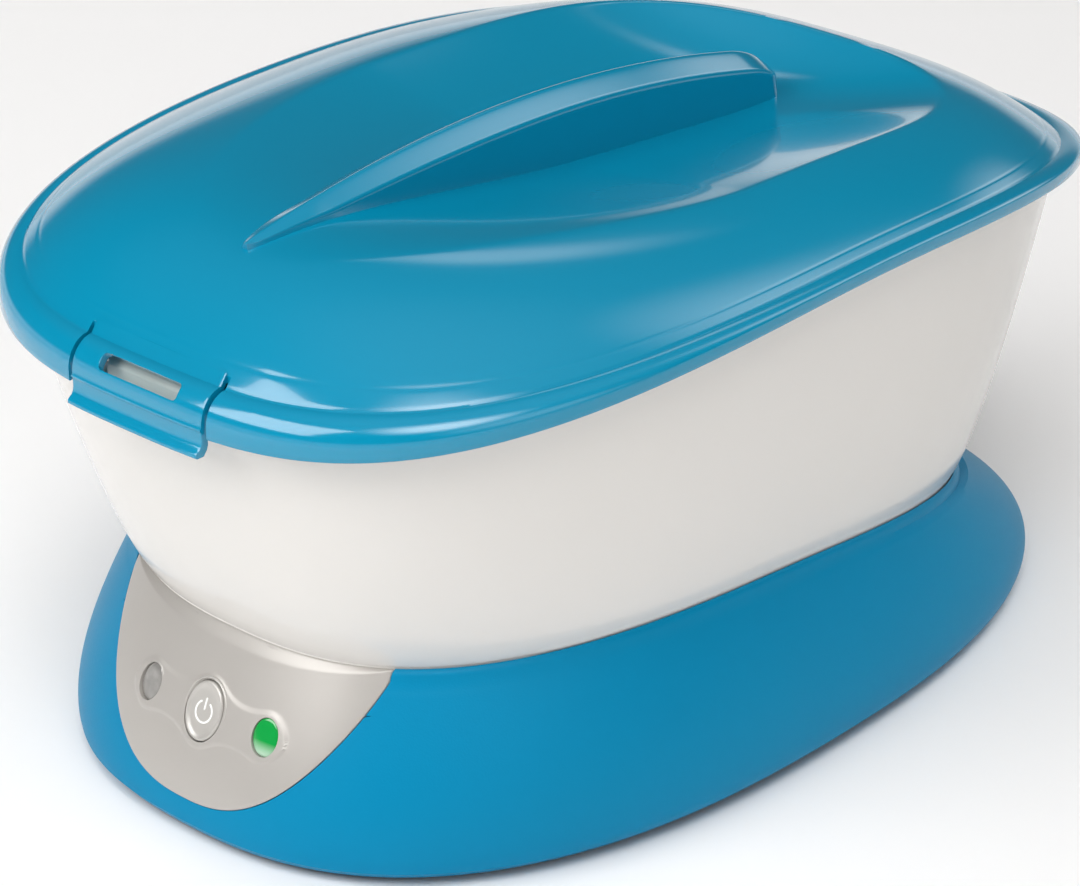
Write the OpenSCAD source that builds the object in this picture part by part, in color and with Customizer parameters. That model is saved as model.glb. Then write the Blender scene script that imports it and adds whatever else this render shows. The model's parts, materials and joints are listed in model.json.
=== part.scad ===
// Paraffin wax bath: heated pan in a two-part plastic housing, with a latching see-through lid.
// +Z is up, the control panel faces -Y, and the rubber feet stand on z = 0. Millimetres.

/* [Lid] */
// Half of the lid's length, front to back
lid_half_len = 200; // [180:1:220]
// Half of the lid's width
lid_half_wid = 140; // [130:1:150]
// Height of the lid's lower edge at the middle of its length
lid_edge_z = 183.5; // [176:0.5:192]
// How far the lid's lower edge falls from the middle to either end
rim_drop = 22; // [14:1:26]
// Wall thickness of the lid
lid_wall = 2.6; // [2:0.2:3.2]
// Height of the dome's middle above the lower edge
dome_rise = 20.5; // [16:0.5:26]
// Height of the handle fin's crest above the lower edge
fin_rise = 32; // [28:0.5:38]

/* [Housing] */
// Half of the white tub's length at its rim
tub_half_len = 191; // [186:1:193]
// Half of the white tub's width at its rim
tub_half_wid = 133; // [126:1:142]
// Half of the tub's length where it meets the base
seam_half_len = 163; // [155:1:168]
// Half of the tub's width where it meets the base
seam_half_wid = 112; // [108:1:116]
// Height of the seam at the middle of its length
seam_z = 69; // [66:1:72]
// Half of the base skirt's length at its foot
skirt_half_len = 194; // [188:1:198]
// Half of the base skirt's width at its foot
skirt_half_wid = 128; // [124:1:134]
// Wall thickness of the tub and the base
shell_wall = 2.6; // [2.2:0.2:3]

/* [Pan] */
// Height of the wax pan's floor
pan_floor_z = 90; // [86:1:96]
// Thickness of the pan's sheet
pan_wall = 1.5; // [1.2:0.1:2]
// Half of the pan floor's length
pan_floor_len = 140; // [130:1:146]
// Half of the pan floor's width
pan_floor_wid = 92; // [84:1:96]

/* [Controls] */
// Half of the control panel's width at its top
panel_half_wid = 61; // [56:1:63]
// Height of the power button's centre
button_z = 42.5; // [41:0.5:44]
// Push travel of the power button
button_travel = 1.2; // [0.8:0.1:1.5]
// Distance of each lens from the middle
lens_x = 27.5; // [24:0.5:30]

/* [Feet] */
// Height of the skirt's lower edge above the table
foot_h = 3; // [2:0.5:5]
// Radius of a rubber foot
foot_r = 9; // [7:0.5:11]

/* [Hidden] */

// Ring counts of the lofted shells
sides = 60;
fine_sides = 72;
$fn = 64;

// Roundness of the plan outlines: 2 is an ellipse, more is squarer
rim_power = 2.9;
seam_power = 2.57;
skirt_power = 2.45;

// The seam falls towards both ends, and further towards the rear
seam_drop = 15.3;
seam_tilt = 15.1;

// Base wall and ledge
front_swell = 0.98;
side_swell = 1.6;
wall_bulge = 5;
skirt_shift = 5;
tub_swell = 0.75;
tub_rim_up = 1;
tub_lip_w = 9;
lip_t = 3;
lip_play = 0.5;
tub_foot = 9;
ledge_w = 17;
ledge_under_z = seam_z - tub_foot - lip_t - 1;
gasket_t = 0.8;

// Bottom plate, feet and screws
plate_top = foot_h + 3.5;
plate_t = 2.5;
foot_x = 78;
foot_y = 128;
foot_stem_r = 3;
vent_len = 34;
vent_wid = 4;
vent_x = 45;
vent_pitch = 12;
screw_len = 12;
screw_r = 1.5;
screw_bore_r = 1.55;
post_r = 4.5;
post_angles = [14, 64, 116, 166, 194, 244, 296, 346];
tub_screw_angles = [0, 32, 90, 148, 180, 212, 328];

// Cord gland
gland_face_y = 184;
gland_z = 16.5;
gland_neck_r = 5.5;
gland_bore_r = 3.6;
gland_pocket_r = 8.2;
gland_boss_wid = 22;
gland_wall_t = 9.9;
gland_nut_r = 8;
gland_nut_t = 4;

// Pan parts
grille_leg = 4;
grille_t = 3;
grille_pitch = 13;
grille_slot_x = 31;
grille_slot_wid = 6;
spreader_t = 2;
spreader_z = pan_floor_z - pan_wall - spreader_t - 0.1;
spreader_half_len = 118;
spreader_half_wid = 74;
element_r = 3.2;
element_x = 44;
element_bend_y = 55;
bracket_ys = [-25, 40];
bracket_wid = 14;
bracket_t = 1.5;
stat_x = 18;
fuse_x = -22;
sensor_y = -60;
block_y = 120;
wire_ref = [0.31, 0.17, 0.94];
heater_wire_r = 1.4;
board_wire_r = 1.1;

// Lid levels
lid_skirt = 4;
shoulder_frac = 0.955;
dome_frac = 0.935;
dome_step = 7;
dome_tilt = 0.03;
dome_power = 4;
dome_power_end = 2.5;
front_drop = 11.4;
rear_drop = 21.5;
inner_fracs = [0.08, 0.16, 0.24, 0.32, 0.4, 0.48, 0.56, 0.64, 0.72, 0.8, 0.88, 0.94];
outer_fracs = [
    0.955, 0.935, 0.9, 0.86, 0.8, 0.74, 0.68, 0.62, 0.56, 0.5, 0.44, 0.38, 0.32, 0.26, 0.2, 0.14, 0.07
];

// Handle fin and the scooped recess around it
fin_peak_y = -35;
fin_curve = 9.2e-4;
fin_front_y = -150;
fin_widest_y = -20;
fin_rear_y = 112;
fin_half_wid = 10;
fin_crown = 7.2;
fin_ridge = [[0.975, 0.78], [0.9, 0.62], [0.5, 0.31]];
fin_rear_round = 8;
fin_nose_len = 20.3;
fin_nose_drop = 7;
fin_steps = 22;
recess_half_wid = 88;
recess_mid_y = -5;
recess_front = 148;
recess_rear = 150;
recess_depth = 14.5;
recess_slope = 0.06;

// Latch
tab_half_wid = 30;
slit_w = 2;
tab_root_y = -187;
tab_gap = 0.4;
tab_steps = 12;
catch_half_wid = 22;
slot_y = -196.5;
slot_z = 172.5;
slot_lean = 45;
slot_half_wid = 18;
slot_half_hgt = 3;

// Controls
panel_lean = 24;
panel_proud = 0.6;
panel_gap = 0.25;
panel_foot_z = 14.5;
panel_side = 1.3;
panel_round = 0.4;
seat_depth = shell_wall + 2.5;
seat_room = 16;
seat_rise = 2.5;
patch_rows = 10;
patch_cols = 20;
button_y = -176.8;
button_half_wid = 8.2;
button_half_hgt = 10.4;
button_flange = 1.4;
lens_y = -175.2;
lens_yaw = 9;
lens_half_wid = 5.2;
lens_half_hgt = 6.5;
lens_flange = 1.2;
play = 0.3;
stem_end = -10;
plunger_r = 1.6;
board_face = -17;
board_t = 1.6;
board_len = 88;
board_hgt = 32;
board_post_r = 3;
board_screw_x = 38;
board_screw_y = 11;
led_x = 27;

// Colours
blue = [0.09, 0.5, 0.68];
white = [0.91, 0.9, 0.88];
silver = [0.72, 0.7, 0.68];
metal = [0.75, 0.76, 0.78];
dark = [0.12, 0.12, 0.13];

// ---- Curves shared by the shells ----

// Point of a rounded-oval outline in the direction of angle a
function oval(a, l, w, n) =
    let(k = pow(pow(abs(cos(a)), n) + pow(abs(sin(a)), n), -1 / n))
    [w * k * cos(a), l * k * sin(a)];

// Height of an arched edge at y, for a rim of half length l
function arched(y, l, z, drop, tilt = 0) = z - drop * pow(y / l, 2) - tilt * (y / l);

// One closed ring of points on an arched edge
function ring(l, w, n, z, drop = 0, tilt = 0, ref = 0, count = sides) = [
    for (i = [0:count - 1])
        let(p = oval(360 * i / count, l, w, n))
        [p.x, p.y, arched(p.y, ref == 0 ? l : ref, z, drop, tilt)]
];

function mix(a, b, t) = a + (b - a) * t;

// A ring a fraction t of the way from ring r to ring s
function mix_ring(r, s, t) = [for (i = [0:len(r) - 1]) mix(r[i], s[i], t)];

function lift(r, dz) = [for (p = r) p + [0, 0, dz]];

// Rings stacked upwards around the outside, closed on themselves through the inside
module loft_tube(rings) {
    n = len(rings[0]);
    m = len(rings);
    polyhedron(
        points = [for (r = rings) each r],
        faces = [
            for (j = [0:m - 1])
                let(u = j * n, v = ((j + 1) % m) * n)
                for (i = [0:n - 1])
                    let(k = (i + 1) % n)
                    each [[u + i, v + i, v + k], [u + i, v + k, u + k]]
        ],
        convexity = 8
    );
}

// Rings stacked upwards, closed by one point below the first and one above the last
module loft_solid(rings, low, high) {
    n = len(rings[0]);
    m = len(rings);
    polyhedron(
        points = concat([for (r = rings) each r], [low, high]),
        faces = concat(
            [
                for (j = [0:m - 2])
                    let(u = j * n, v = (j + 1) * n)
                    for (i = [0:n - 1])
                        let(k = (i + 1) % n)
                        each [[u + i, v + i, v + k], [u + i, v + k, u + k]]
            ],
            [for (i = [0:n - 1]) [(i + 1) % n, m * n, i]],
            [for (i = [0:n - 1]) let(u = (m - 1) * n) [u + i, m * n + 1, u + (i + 1) % n]]
        ),
        convexity = 8
    );
}

// ---- Base ----

function seam_ring(inset = 0, dz = 0) =
    ring(seam_half_len - inset, seam_half_wid - inset, seam_power, seam_z + dz,
         seam_drop, seam_tilt, seam_half_len);

function skirt_ring(inset = 0, dz = 0) = [
    for (p = ring(skirt_half_len - inset, skirt_half_wid - inset, skirt_power, foot_h + dz))
        p + [0, skirt_shift, 0]
];

// How far the base's wall swells outward a fraction t of the way up
function bulge(t) = wall_bulge * sin(180 * pow(t, 0.6));

// How convex the base's wall is in the direction of angle a: straighter behind the panel
function swell_at(a) = mix(side_swell, front_swell, pow(max(0, -sin(a)), 4));

// Height of the seam at y
function seam_level(y) = arched(y, seam_half_len, seam_z, seam_drop, seam_tilt);

// Outline of the base's wall a fraction t of the way up, moved in by inset
function base_ring(t, inset = 0) =
    let(a = skirt_ring(inset - bulge(t)), b = seam_ring(inset - bulge(t)))
    [for (i = [0:sides - 1])
        let(f = pow(t, swell_at(360 * i / sides)))
        [mix(a[i].x, b[i].x, f), mix(a[i].y, b[i].y, f), mix(a[i].z, b[i].z, t)]];

module base_shell() {
    loft_tube([
        skirt_ring(2.2),
        skirt_ring(0.5, 1.4),
        for (t = [0.1, 0.3, 0.5, 0.7, 0.88]) base_ring(t),
        seam_ring(0.3, -2.2),
        seam_ring(0, -0.7),
        seam_ring(lip_play, 0),
        seam_ring(lip_play, -tub_foot - 0.1),
        seam_ring(ledge_w, -tub_foot - 0.1),
        seam_ring(ledge_w, -tub_foot - lip_t),
        seam_ring(shell_wall + 1, -tub_foot - lip_t),
        for (t = [0.55, 0.3, 0.1]) base_ring(t, shell_wall),
        skirt_ring(shell_wall + 1.2, 1.5),
        skirt_ring(shell_wall + 1.2)
    ]);
}

// Opening in the base's front wall for the panel, deeper below the ledge
module panel_seat() {
    intersection() {
        panel_prism(panel_gap);
        union() {
            front_slab(5, -seat_depth, seat_rise);
            intersection() {
                front_slab(5, -seat_room, seat_rise);
                translate([-100, -300, 0])
                    cube([200, 300, ledge_under_z]);
            }
        }
    }
}

// The base's outside shape, filled
module base_block() {
    loft_solid(
        [skirt_ring(0.5), for (t = [0.1, 0.3, 0.5, 0.7, 0.88]) base_ring(t), seam_ring(0.5, -1)],
        [0, skirt_shift, foot_h],
        [0, 0, seam_z - 1]
    );
}

// Places children on the ledge at the given angles, at the ledge's underside
module on_ledge(angles) {
    for (a = angles)
        let(p = oval(a, seam_half_len - ledge_w / 2 - 1, seam_half_wid - ledge_w / 2 - 1, seam_power))
        translate([p.x, p.y, seam_level(p.y) - tub_foot])
            children();
}

module base_housing() {
    color(blue)
    difference() {
        union() {
            base_shell();
            for (a = post_angles)
                let(p = oval(a, seam_half_len - ledge_w / 2, seam_half_wid - ledge_w / 2, seam_power))
                translate([p.x, p.y, plate_top + 0.1])
                    cylinder(r = post_r, h = seam_level(p.y) - tub_foot - lip_t / 2 - plate_top);
            intersection() {
                base_block();
                translate([-gland_boss_wid / 2, gland_face_y - gland_wall_t, plate_top + 0.4])
                    cube([gland_boss_wid, 40, 20]);
            }
        }
        for (a = post_angles)
            let(p = oval(a, seam_half_len - ledge_w / 2, seam_half_wid - ledge_w / 2, seam_power))
            translate([p.x, p.y, plate_top])
                cylinder(r = screw_bore_r, h = 12);
        on_ledge(tub_screw_angles)
            translate([0, 0, -lip_t - 2])
                cylinder(r = screw_r + 0.3, h = lip_t + 4);
        translate([0, gland_face_y + 1, gland_z])
            rotate([90, 0, 0])
                cylinder(r = gland_neck_r + 0.05, h = 30);
        translate([0, gland_face_y, gland_z])
            rotate([-90, 0, 0])
                cylinder(r = gland_pocket_r, h = 20);
        panel_seat();
    }
}

module bottom_plate() {
    color(dark)
    difference() {
        translate([0, 0, plate_top - plate_t])
            linear_extrude(plate_t)
                translate([0, skirt_shift])
                    plan_oval(skirt_half_len - shell_wall - 1.8, skirt_half_wid - shell_wall - 1.8,
                              skirt_power);
        for (a = post_angles)
            let(p = oval(a, seam_half_len - ledge_w / 2, seam_half_wid - ledge_w / 2, seam_power))
            translate([p.x, p.y, 0])
                cylinder(r = screw_r + 0.3, h = 20);
        at_feet()
            cylinder(r = foot_stem_r + 0.05, h = 20);
        for (sx = [-1, 1])
            for (i = [-4:4])
                translate([sx * vent_x, i * vent_pitch, 0])
                    linear_extrude(20)
                        slot(vent_len, vent_wid);
    }
}

module slot(len, wid) {
    square([len - wid, wid], center = true);
    for (s = [-1, 1])
        translate([s * (len - wid) / 2, 0])
            circle(d = wid, $fn = 24);
}

module plan_oval(l, w, n, count = fine_sides) {
    polygon([for (i = [0:count - 1]) oval(360 * i / count, l, w, n)]);
}

module at_feet() {
    for (sx = [-1, 1])
        for (sy = [-1, 1])
            translate([sx * foot_x, sy * foot_y, 0])
                children();
}

module rubber_feet() {
    color(dark)
    at_feet()
        rotate_extrude()
            polygon([
                [0, 0], [foot_r - 1, 0], [foot_r, 1], [foot_r, plate_top - plate_t],
                [foot_stem_r, plate_top - plate_t], [foot_stem_r, plate_top + 0.1],
                [foot_stem_r + 1, plate_top + 0.1], [foot_stem_r - 0.8, plate_top + 2.4],
                [0, plate_top + 2.4]
            ]);
}

// Cross-head screw, head down, its head's upper face at z = 0
module screw(len) {
    difference() {
        union() {
            translate([0, 0, -2])
                cylinder(r1 = screw_r + 1, r2 = screw_r + 1.6, h = 2);
            cylinder(r = screw_r, h = len);
        }
        for (a = [0, 90])
            rotate([0, 0, a])
                translate([-1.6, -0.4, -2.5])
                    cube([3.2, 0.8, 1.5]);
    }
}

module bottom_screws() {
    color(metal)
    for (a = post_angles)
        let(p = oval(a, seam_half_len - ledge_w / 2, seam_half_wid - ledge_w / 2, seam_power))
        translate([p.x, p.y, plate_top - plate_t - 0.05])
            screw(screw_len);
}

module tub_screws() {
    color(metal)
    on_ledge(tub_screw_angles)
        translate([0, 0, -lip_t - 1.2])
            screw(screw_len);
}

module cord_gland() {
    color(dark)
    translate([0, gland_face_y, gland_z])
        rotate([-90, 0, 0])
            difference() {
                union() {
                    translate([0, 0, -20])
                        cylinder(r = gland_neck_r, h = 21);
                    translate([0, 0, 0.1])
                        cylinder(r = gland_pocket_r - 0.4, h = 3.4);
                    translate([0, 0, 3.4])
                        cylinder(r1 = 6.8, r2 = 5.2, h = 5.2);
                }
                translate([0, 0, -21])
                    cylinder(r = gland_bore_r, h = 34);
            }
}

module gland_nut() {
    color(dark)
    translate([0, gland_face_y, gland_z])
        rotate([-90, 0, 0])
            translate([0, 0, -14.2])
                difference() {
                    cylinder(r = gland_nut_r, h = gland_nut_t, $fn = 6);
                    translate([0, 0, -1])
                        cylinder(r = gland_neck_r + 0.05, h = gland_nut_t + 2);
                }
}

// ---- Tub ----

function tub_top_ring(inset = 0, dz = 0) =
    ring(tub_half_len - inset, tub_half_wid - inset, rim_power, lid_edge_z + tub_rim_up + dz,
         rim_drop, 0, lid_half_len);

// Outline of the tub's wall a fraction t of the way up from the seam
function tub_ring(t, inset = 0) =
    let(f = pow(t, tub_swell), a = seam_ring(inset + lip_play + 0.4), b = tub_top_ring(inset))
    [for (i = [0:sides - 1]) [
        mix(a[i].x, b[i].x, f), mix(a[i].y, b[i].y, f), mix(a[i].z, b[i].z, t)
    ]];

module tub_shell() {
    loft_tube([
        seam_ring(lip_play + 0.4, -tub_foot),
        seam_ring(lip_play + 0.4, 0),
        for (t = [0.12, 0.28, 0.46, 0.64, 0.82, 0.94]) tub_ring(t),
        tub_top_ring(0, -1),
        tub_top_ring(1),
        tub_top_ring(tub_lip_w),
        tub_top_ring(tub_lip_w, -2.2),
        tub_top_ring(shell_wall + 0.4, -3),
        for (t = [0.82, 0.6, 0.36, 0.12]) tub_ring(t, shell_wall),
        seam_ring(lip_play + 0.4 + shell_wall, -tub_foot + lip_t),
        seam_ring(ledge_w, -tub_foot + lip_t),
        seam_ring(ledge_w, -tub_foot)
    ]);
}

module outer_tub() {
    color(white)
    difference() {
        union() {
            tub_shell();
            on_ledge(tub_screw_angles)
                translate([0, 0, 1.2])
                    cylinder(r = 4, h = 11);
            catch_tongue();
        }
        on_ledge(tub_screw_angles)
            translate([0, 0, -3])
                cylinder(r = screw_bore_r, h = 13);
    }
}

// The catch that the latch tab's slot drops over
module catch_tongue() {
    y = -tub_half_len;
    z = lid_edge_z + tub_rim_up - rim_drop + 1.2;
    translate([-catch_half_wid, 0, 0])
        rotate([90, 0, 90])
            linear_extrude(2 * catch_half_wid)
                polygon([
                    [y + 0.3, z - 3], [y - 0.4, z + 2], [y - 0.4, z + 5], [y + 1.8, z + 7.5],
                    [y + 2.6, z + 7.5], [y + 2.6, z - 2]
                ]);
}

module rim_gasket() {
    color(dark)
    loft_tube([
        tub_top_ring(4, 0.05),
        tub_top_ring(4, gasket_t),
        tub_top_ring(7.5, gasket_t),
        tub_top_ring(7.5, 0.05)
    ]);
}

// ---- Pan ----

function pan_rim_ring(inset = 0, dz = 0) = tub_top_ring(inset, gasket_t + 0.05 + dz);

function pan_floor_ring(inset, z) =
    ring(pan_floor_len - inset, pan_floor_wid - inset, seam_power, z);

// Outline of the pan's inner wall a fraction t of the way up, moved out by thick
function pan_ring(t, thick = 0) =
    let(a = pan_floor_ring(-thick, pan_floor_z), b = pan_rim_ring(tub_lip_w + 6 - thick, 0))
    mix_ring(a, b, t);

module wax_pan() {
    color(metal)
    loft_solid(
        [
            pan_floor_ring(9, pan_floor_z - pan_wall),
            pan_floor_ring(0, pan_floor_z + 2 - pan_wall),
            for (t = [0.06, 0.25, 0.5, 0.75]) pan_ring(t, pan_wall),
            pan_rim_ring(tub_lip_w + 3.6, -2.5),
            pan_rim_ring(tub_lip_w + 1.2, -0.4),
            pan_rim_ring(tub_lip_w - 0.5, 0),
            pan_rim_ring(3.2, 0),
            pan_rim_ring(3.2, pan_wall),
            pan_rim_ring(tub_lip_w, pan_wall),
            pan_rim_ring(tub_lip_w + 3.4, pan_wall - 0.8),
            pan_rim_ring(tub_lip_w + 5.4, -2.2),
            for (t = [0.75, 0.5, 0.25, 0.08]) pan_ring(t),
            pan_floor_ring(3, pan_floor_z + 1.6),
            pan_floor_ring(10, pan_floor_z)
        ],
        [0, 0, pan_floor_z - pan_wall],
        [0, 0, pan_floor_z]
    );
}

module pan_grille() {
    z = pan_floor_z + 0.3;
    color(white)
    union() {
        translate([0, 0, z + grille_leg])
            linear_extrude(grille_t)
                difference() {
                    plan_oval(pan_floor_len - 8, pan_floor_wid - 8, seam_power);
                    for (i = [-8:8])
                        let(y = i * grille_pitch)
                        for (sx = abs(i) < 7 ? [-1, 1] : [0])
                            translate([sx * grille_slot_x, y])
                                slot(abs(i) < 7 ? 50 - abs(i) * 1.5 : 58, grille_slot_wid);
                }
        for (p = [[0, 0], [0, 100], [0, -100], [70, 0], [-70, 0]])
            translate([p.x * 0.9, p.y, z])
                cylinder(r = 3, h = grille_leg + 0.5);
    }
}

module insulation_band() {
    color([0.86, 0.84, 0.78])
    loft_tube([
        pan_ring(0.1, pan_wall + 6),
        pan_ring(0.6, pan_wall + 6),
        pan_ring(0.6, pan_wall + 0.6),
        pan_ring(0.1, pan_wall + 0.6)
    ]);
}

// ---- Heater ----

module heat_spreader() {
    color(metal)
    union() {
        translate([0, 0, spreader_z])
            linear_extrude(spreader_t)
                plan_oval(spreader_half_len, spreader_half_wid, seam_power);
        for (y = bracket_ys)
            translate([0, y, spreader_z - 14])
                cylinder(r = 2, h = 15);
    }
}

// Sheathed rod bent into a long loop, its two cold ends towards the front
module heater_element() {
    z = spreader_z - element_r - 0.1;
    color([0.35, 0.34, 0.33])
    union() {
        translate([0, element_bend_y, z])
            rotate_extrude(angle = 180)
                translate([element_x, 0])
                    circle(r = element_r);
        for (sx = [-1, 1])
            translate([sx * element_x, element_bend_y + 0.01, z])
                rotate([90, 0, 0])
                    cylinder(r = element_r, h = 120);
        for (sx = [-1, 1])
            translate([sx * element_x, element_bend_y - 119.9, z])
                rotate([90, 0, 0])
                    cylinder(r = 1.2, h = 10);
    }
}

module heater_brackets() {
    z = spreader_z - 2 * element_r - 0.2;
    color(metal)
    for (y = bracket_ys)
        difference() {
            translate([-element_x - 8, y - bracket_wid / 2, z - bracket_t])
                cube([2 * element_x + 16, bracket_wid, bracket_t]);
            translate([0, y, z - 3])
                cylinder(r = 2.2, h = 6);
        }
}

module bracket_nuts() {
    z = spreader_z - 2 * element_r - bracket_t - 0.25;
    color(metal)
    for (y = bracket_ys)
        translate([0, y, z - 3.2])
            difference() {
                cylinder(r = 4, h = 3.2, $fn = 6);
                translate([0, 0, -1])
                    cylinder(r = 2.05, h = 6);
            }
}

module thermostat() {
    color([0.3, 0.24, 0.2])
    translate([stat_x, sensor_y, spreader_z - 0.05])
        union() {
            translate([0, 0, -2])
                cylinder(r = 8, h = 2);
            translate([0, 0, -9])
                cylinder(r = 6.5, h = 7.2);
            for (sx = [-1, 1])
                translate([sx * 3.5 - 0.4, -3, -15])
                    cube([0.8, 6, 7]);
        }
}

module thermal_fuse() {
    color([0.85, 0.83, 0.78])
    translate([fuse_x, sensor_y, spreader_z - 2.15])
        rotate([90, 0, 0])
            translate([0, 0, -7])
                union() {
                    cylinder(r = 2, h = 14);
                    translate([0, 0, -8])
                        cylinder(r = 0.5, h = 30);
                }
}

module fuse_strap() {
    color(metal)
    translate([fuse_x, sensor_y, spreader_z - 0.05])
        rotate([90, 0, 0])
            translate([0, 0, -3])
                linear_extrude(6)
                    difference() {
                        polygon([
                            [-9, 0], [-9, -0.8], [-2.9, -0.8], [-2.9, -5], [2.9, -5], [2.9, -0.8],
                            [9, -0.8], [9, 0]
                        ]);
                        translate([0, -2.1])
                            square([4.2, 4.3], center = true);
                    }
}

// ---- Controls ----

// Shield outline of the panel seen from the front, grown by extra
function panel_half_at(u, extra) =
    (panel_half_wid + extra) * pow(max(0, 1 - pow(u, panel_side)), panel_round);

module panel_prism(extra = 0) {
    top = seam_z + 30;
    knee = seam_z - 3;
    low = panel_foot_z - extra;
    steps = 16;
    right = [for (i = [0:steps]) let(u = sin(90 * i / steps))
        [panel_half_at(u, extra), knee - u * (knee - low)]];
    left = [for (i = [steps - 1:-1:0]) [-right[i].x, right[i].y]];
    translate([0, -120, 0])
        rotate([90, 0, 0])
            linear_extrude(100)
                polygon(concat([[right[0].x, top]], right, left, [[-right[0].x, top]]));
}

// Points of the base's front wall, over the panel's width, proud by out; rise lifts the top edge
function front_patch(out, rise) = [
    for (j = [0:patch_rows])
        let(t = mix(0.03, 1, j / patch_rows), q_out = out + bulge(t))
        [for (i = [0:patch_cols])
            let(a = -90 + mix(-50, 50, i / patch_cols))
            let(p = oval(a, skirt_half_len + q_out, skirt_half_wid + q_out, skirt_power))
            let(q = oval(a, seam_half_len + q_out, seam_half_wid + q_out, seam_power))
            let(f = pow(t, swell_at(a)))
            [mix(p.x, q.x, f), mix(p.y + skirt_shift, q.y, f),
                mix(foot_h, seam_level(q.y) - 0.9 + rise, t)]]
];

// A curved slab over the base's front wall between two offsets
module front_slab(outer, inner, rise = 0) {
    front = front_patch(outer, rise);
    back = front_patch(inner, rise);
    w = patch_cols + 1;
    h = patch_rows + 1;
    n = w * h;
    function at(j, i) = j * w + i;
    polyhedron(
        points = concat([for (r = front) each r], [for (r = back) each r]),
        faces = concat(
            [for (j = [0:h - 2]) for (i = [0:w - 2]) each [
                [at(j, i), at(j + 1, i), at(j + 1, i + 1)],
                [at(j, i), at(j + 1, i + 1), at(j, i + 1)],
                [n + at(j, i), n + at(j + 1, i + 1), n + at(j + 1, i)],
                [n + at(j, i), n + at(j, i + 1), n + at(j + 1, i + 1)]]],
            [for (i = [0:w - 2]) each [
                [at(0, i), at(0, i + 1), n + at(0, i + 1)],
                [at(0, i), n + at(0, i + 1), n + at(0, i)],
                [at(h - 1, i), n + at(h - 1, i + 1), at(h - 1, i + 1)],
                [at(h - 1, i), n + at(h - 1, i), n + at(h - 1, i + 1)]]],
            [for (j = [0:h - 2]) each [
                [at(j, 0), n + at(j, 0), n + at(j + 1, 0)],
                [at(j, 0), n + at(j + 1, 0), at(j + 1, 0)],
                [at(j, w - 1), n + at(j + 1, w - 1), n + at(j, w - 1)],
                [at(j, w - 1), at(j + 1, w - 1), n + at(j + 1, w - 1)]]]
        ),
        convexity = 6
    );
}

// Local frame on the panel: +Z is outward, +Y up the slope, origin on the panel's face
module on_panel(x = 0, y = button_y, yaw = 0) {
    translate([x, y, button_z])
        rotate([0, 0, yaw])
            rotate([90 - panel_lean, 0, 0])
                children();
}

module on_lens(side) {
    on_panel(side * lens_x, lens_y, side * lens_yaw)
        children();
}

module oval_post(w, l, from, to) {
    translate([0, 0, from])
        linear_extrude(to - from)
            plan_oval(l, w, 2, 48);
}

module control_panel() {
    color(silver)
    difference() {
        union() {
            intersection() {
                front_slab(panel_proud, -shell_wall);
                panel_prism();
            }
            intersection() {
                front_slab(0, -30);
                panel_prism();
                at_board_screws()
                    cylinder(r = board_post_r, h = -board_face);
            }
        }
        loft_solid([seam_ring(lip_play, -tub_foot - 0.1), seam_ring(lip_play, 3)],
                   [0, 0, seam_z - 30], [0, 0, seam_z + 3]);
        on_panel()
            oval_post(button_half_wid + play, button_half_hgt + play, -12, 8);
        for (s = [-1, 1])
            on_lens(s)
                oval_post(lens_half_wid + 0.1, lens_half_hgt + 0.1, -12, 8);
        at_board_screws()
            translate([0, 0, -1])
                cylinder(r = 1.25, h = 7);
    }
}

// Places children at the board's four screws, on the board's front face
module at_board_screws() {
    on_panel()
        for (sx = [-1, 1])
            for (sy = [-1, 1])
                translate([sx * board_screw_x, sy * board_screw_y, board_face])
                    children();
}

// Oval cap with a generic power mark sunk in its face
module power_button() {
    color(silver)
    on_panel()
        difference() {
            union() {
                oval_post(button_half_wid, button_half_hgt, -3.6, 0.7);
                oval_post(button_half_wid - 0.7, button_half_hgt - 0.7, 0.6, 1.1);
                oval_post(button_half_wid + button_flange, button_half_hgt + button_flange, -5, -3.6);
                translate([0, 0, stem_end])
                    cylinder(r = 3, h = -stem_end - 4);
            }
            translate([0, 0, 0.75])
                power_mark();
        }
}

module power_mark() {
    linear_extrude(1) {
        difference() {
            circle(r = 4.3);
            circle(r = 3.4);
            translate([0, 4])
                square([3.4, 4], center = true);
        }
        translate([0, 2.8])
            square([0.9, 4.4], center = true);
    }
}

module lens() {
    union() {
        oval_post(lens_half_wid, lens_half_hgt, -4.2, 0.5);
        oval_post(lens_half_wid + lens_flange, lens_half_hgt + lens_flange, -5.6, -4.2);
    }
}

module heating_lens() {
    color([0.6, 0.6, 0.6])
    on_lens(-1)
        lens();
}

module ready_lens() {
    color([0.1, 0.62, 0.3])
    on_lens(1)
        lens();
}

module control_board() {
    color([0.1, 0.35, 0.2])
    difference() {
        on_panel()
            translate([0, 0, board_face - board_t - 0.05])
                linear_extrude(board_t)
                    square([board_len, board_hgt], center = true);
        at_board_screws()
            translate([0, 0, -4])
                cylinder(r = 1.5, h = 8);
    }
}

module board_screws() {
    color(metal)
    at_board_screws()
        translate([0, 0, -board_t - 0.1]) {
            translate([0, 0, -1.6])
                cylinder(r = 2.5, h = 1.6);
            cylinder(r = 1.2, h = 6.5);
        }
}

module led() {
    translate([0, 0, board_face + 0.05])
        rotate_extrude()
            polygon(concat(
                [[0, 0], [2.9, 0], [2.9, 1], [2.5, 1], [2.5, 3.6]],
                [for (a = [15:15:75]) [2.5 * cos(a), 3.6 + 2.5 * sin(a)]],
                [[0, 6.1]]
            ));
}

module heating_led() {
    color([0.8, 0.2, 0.15])
    on_panel()
        translate([-led_x, 0, 0])
            led();
}

module ready_led() {
    color([0.2, 0.75, 0.3])
    on_panel()
        translate([led_x, 0, 0])
            led();
}

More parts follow.
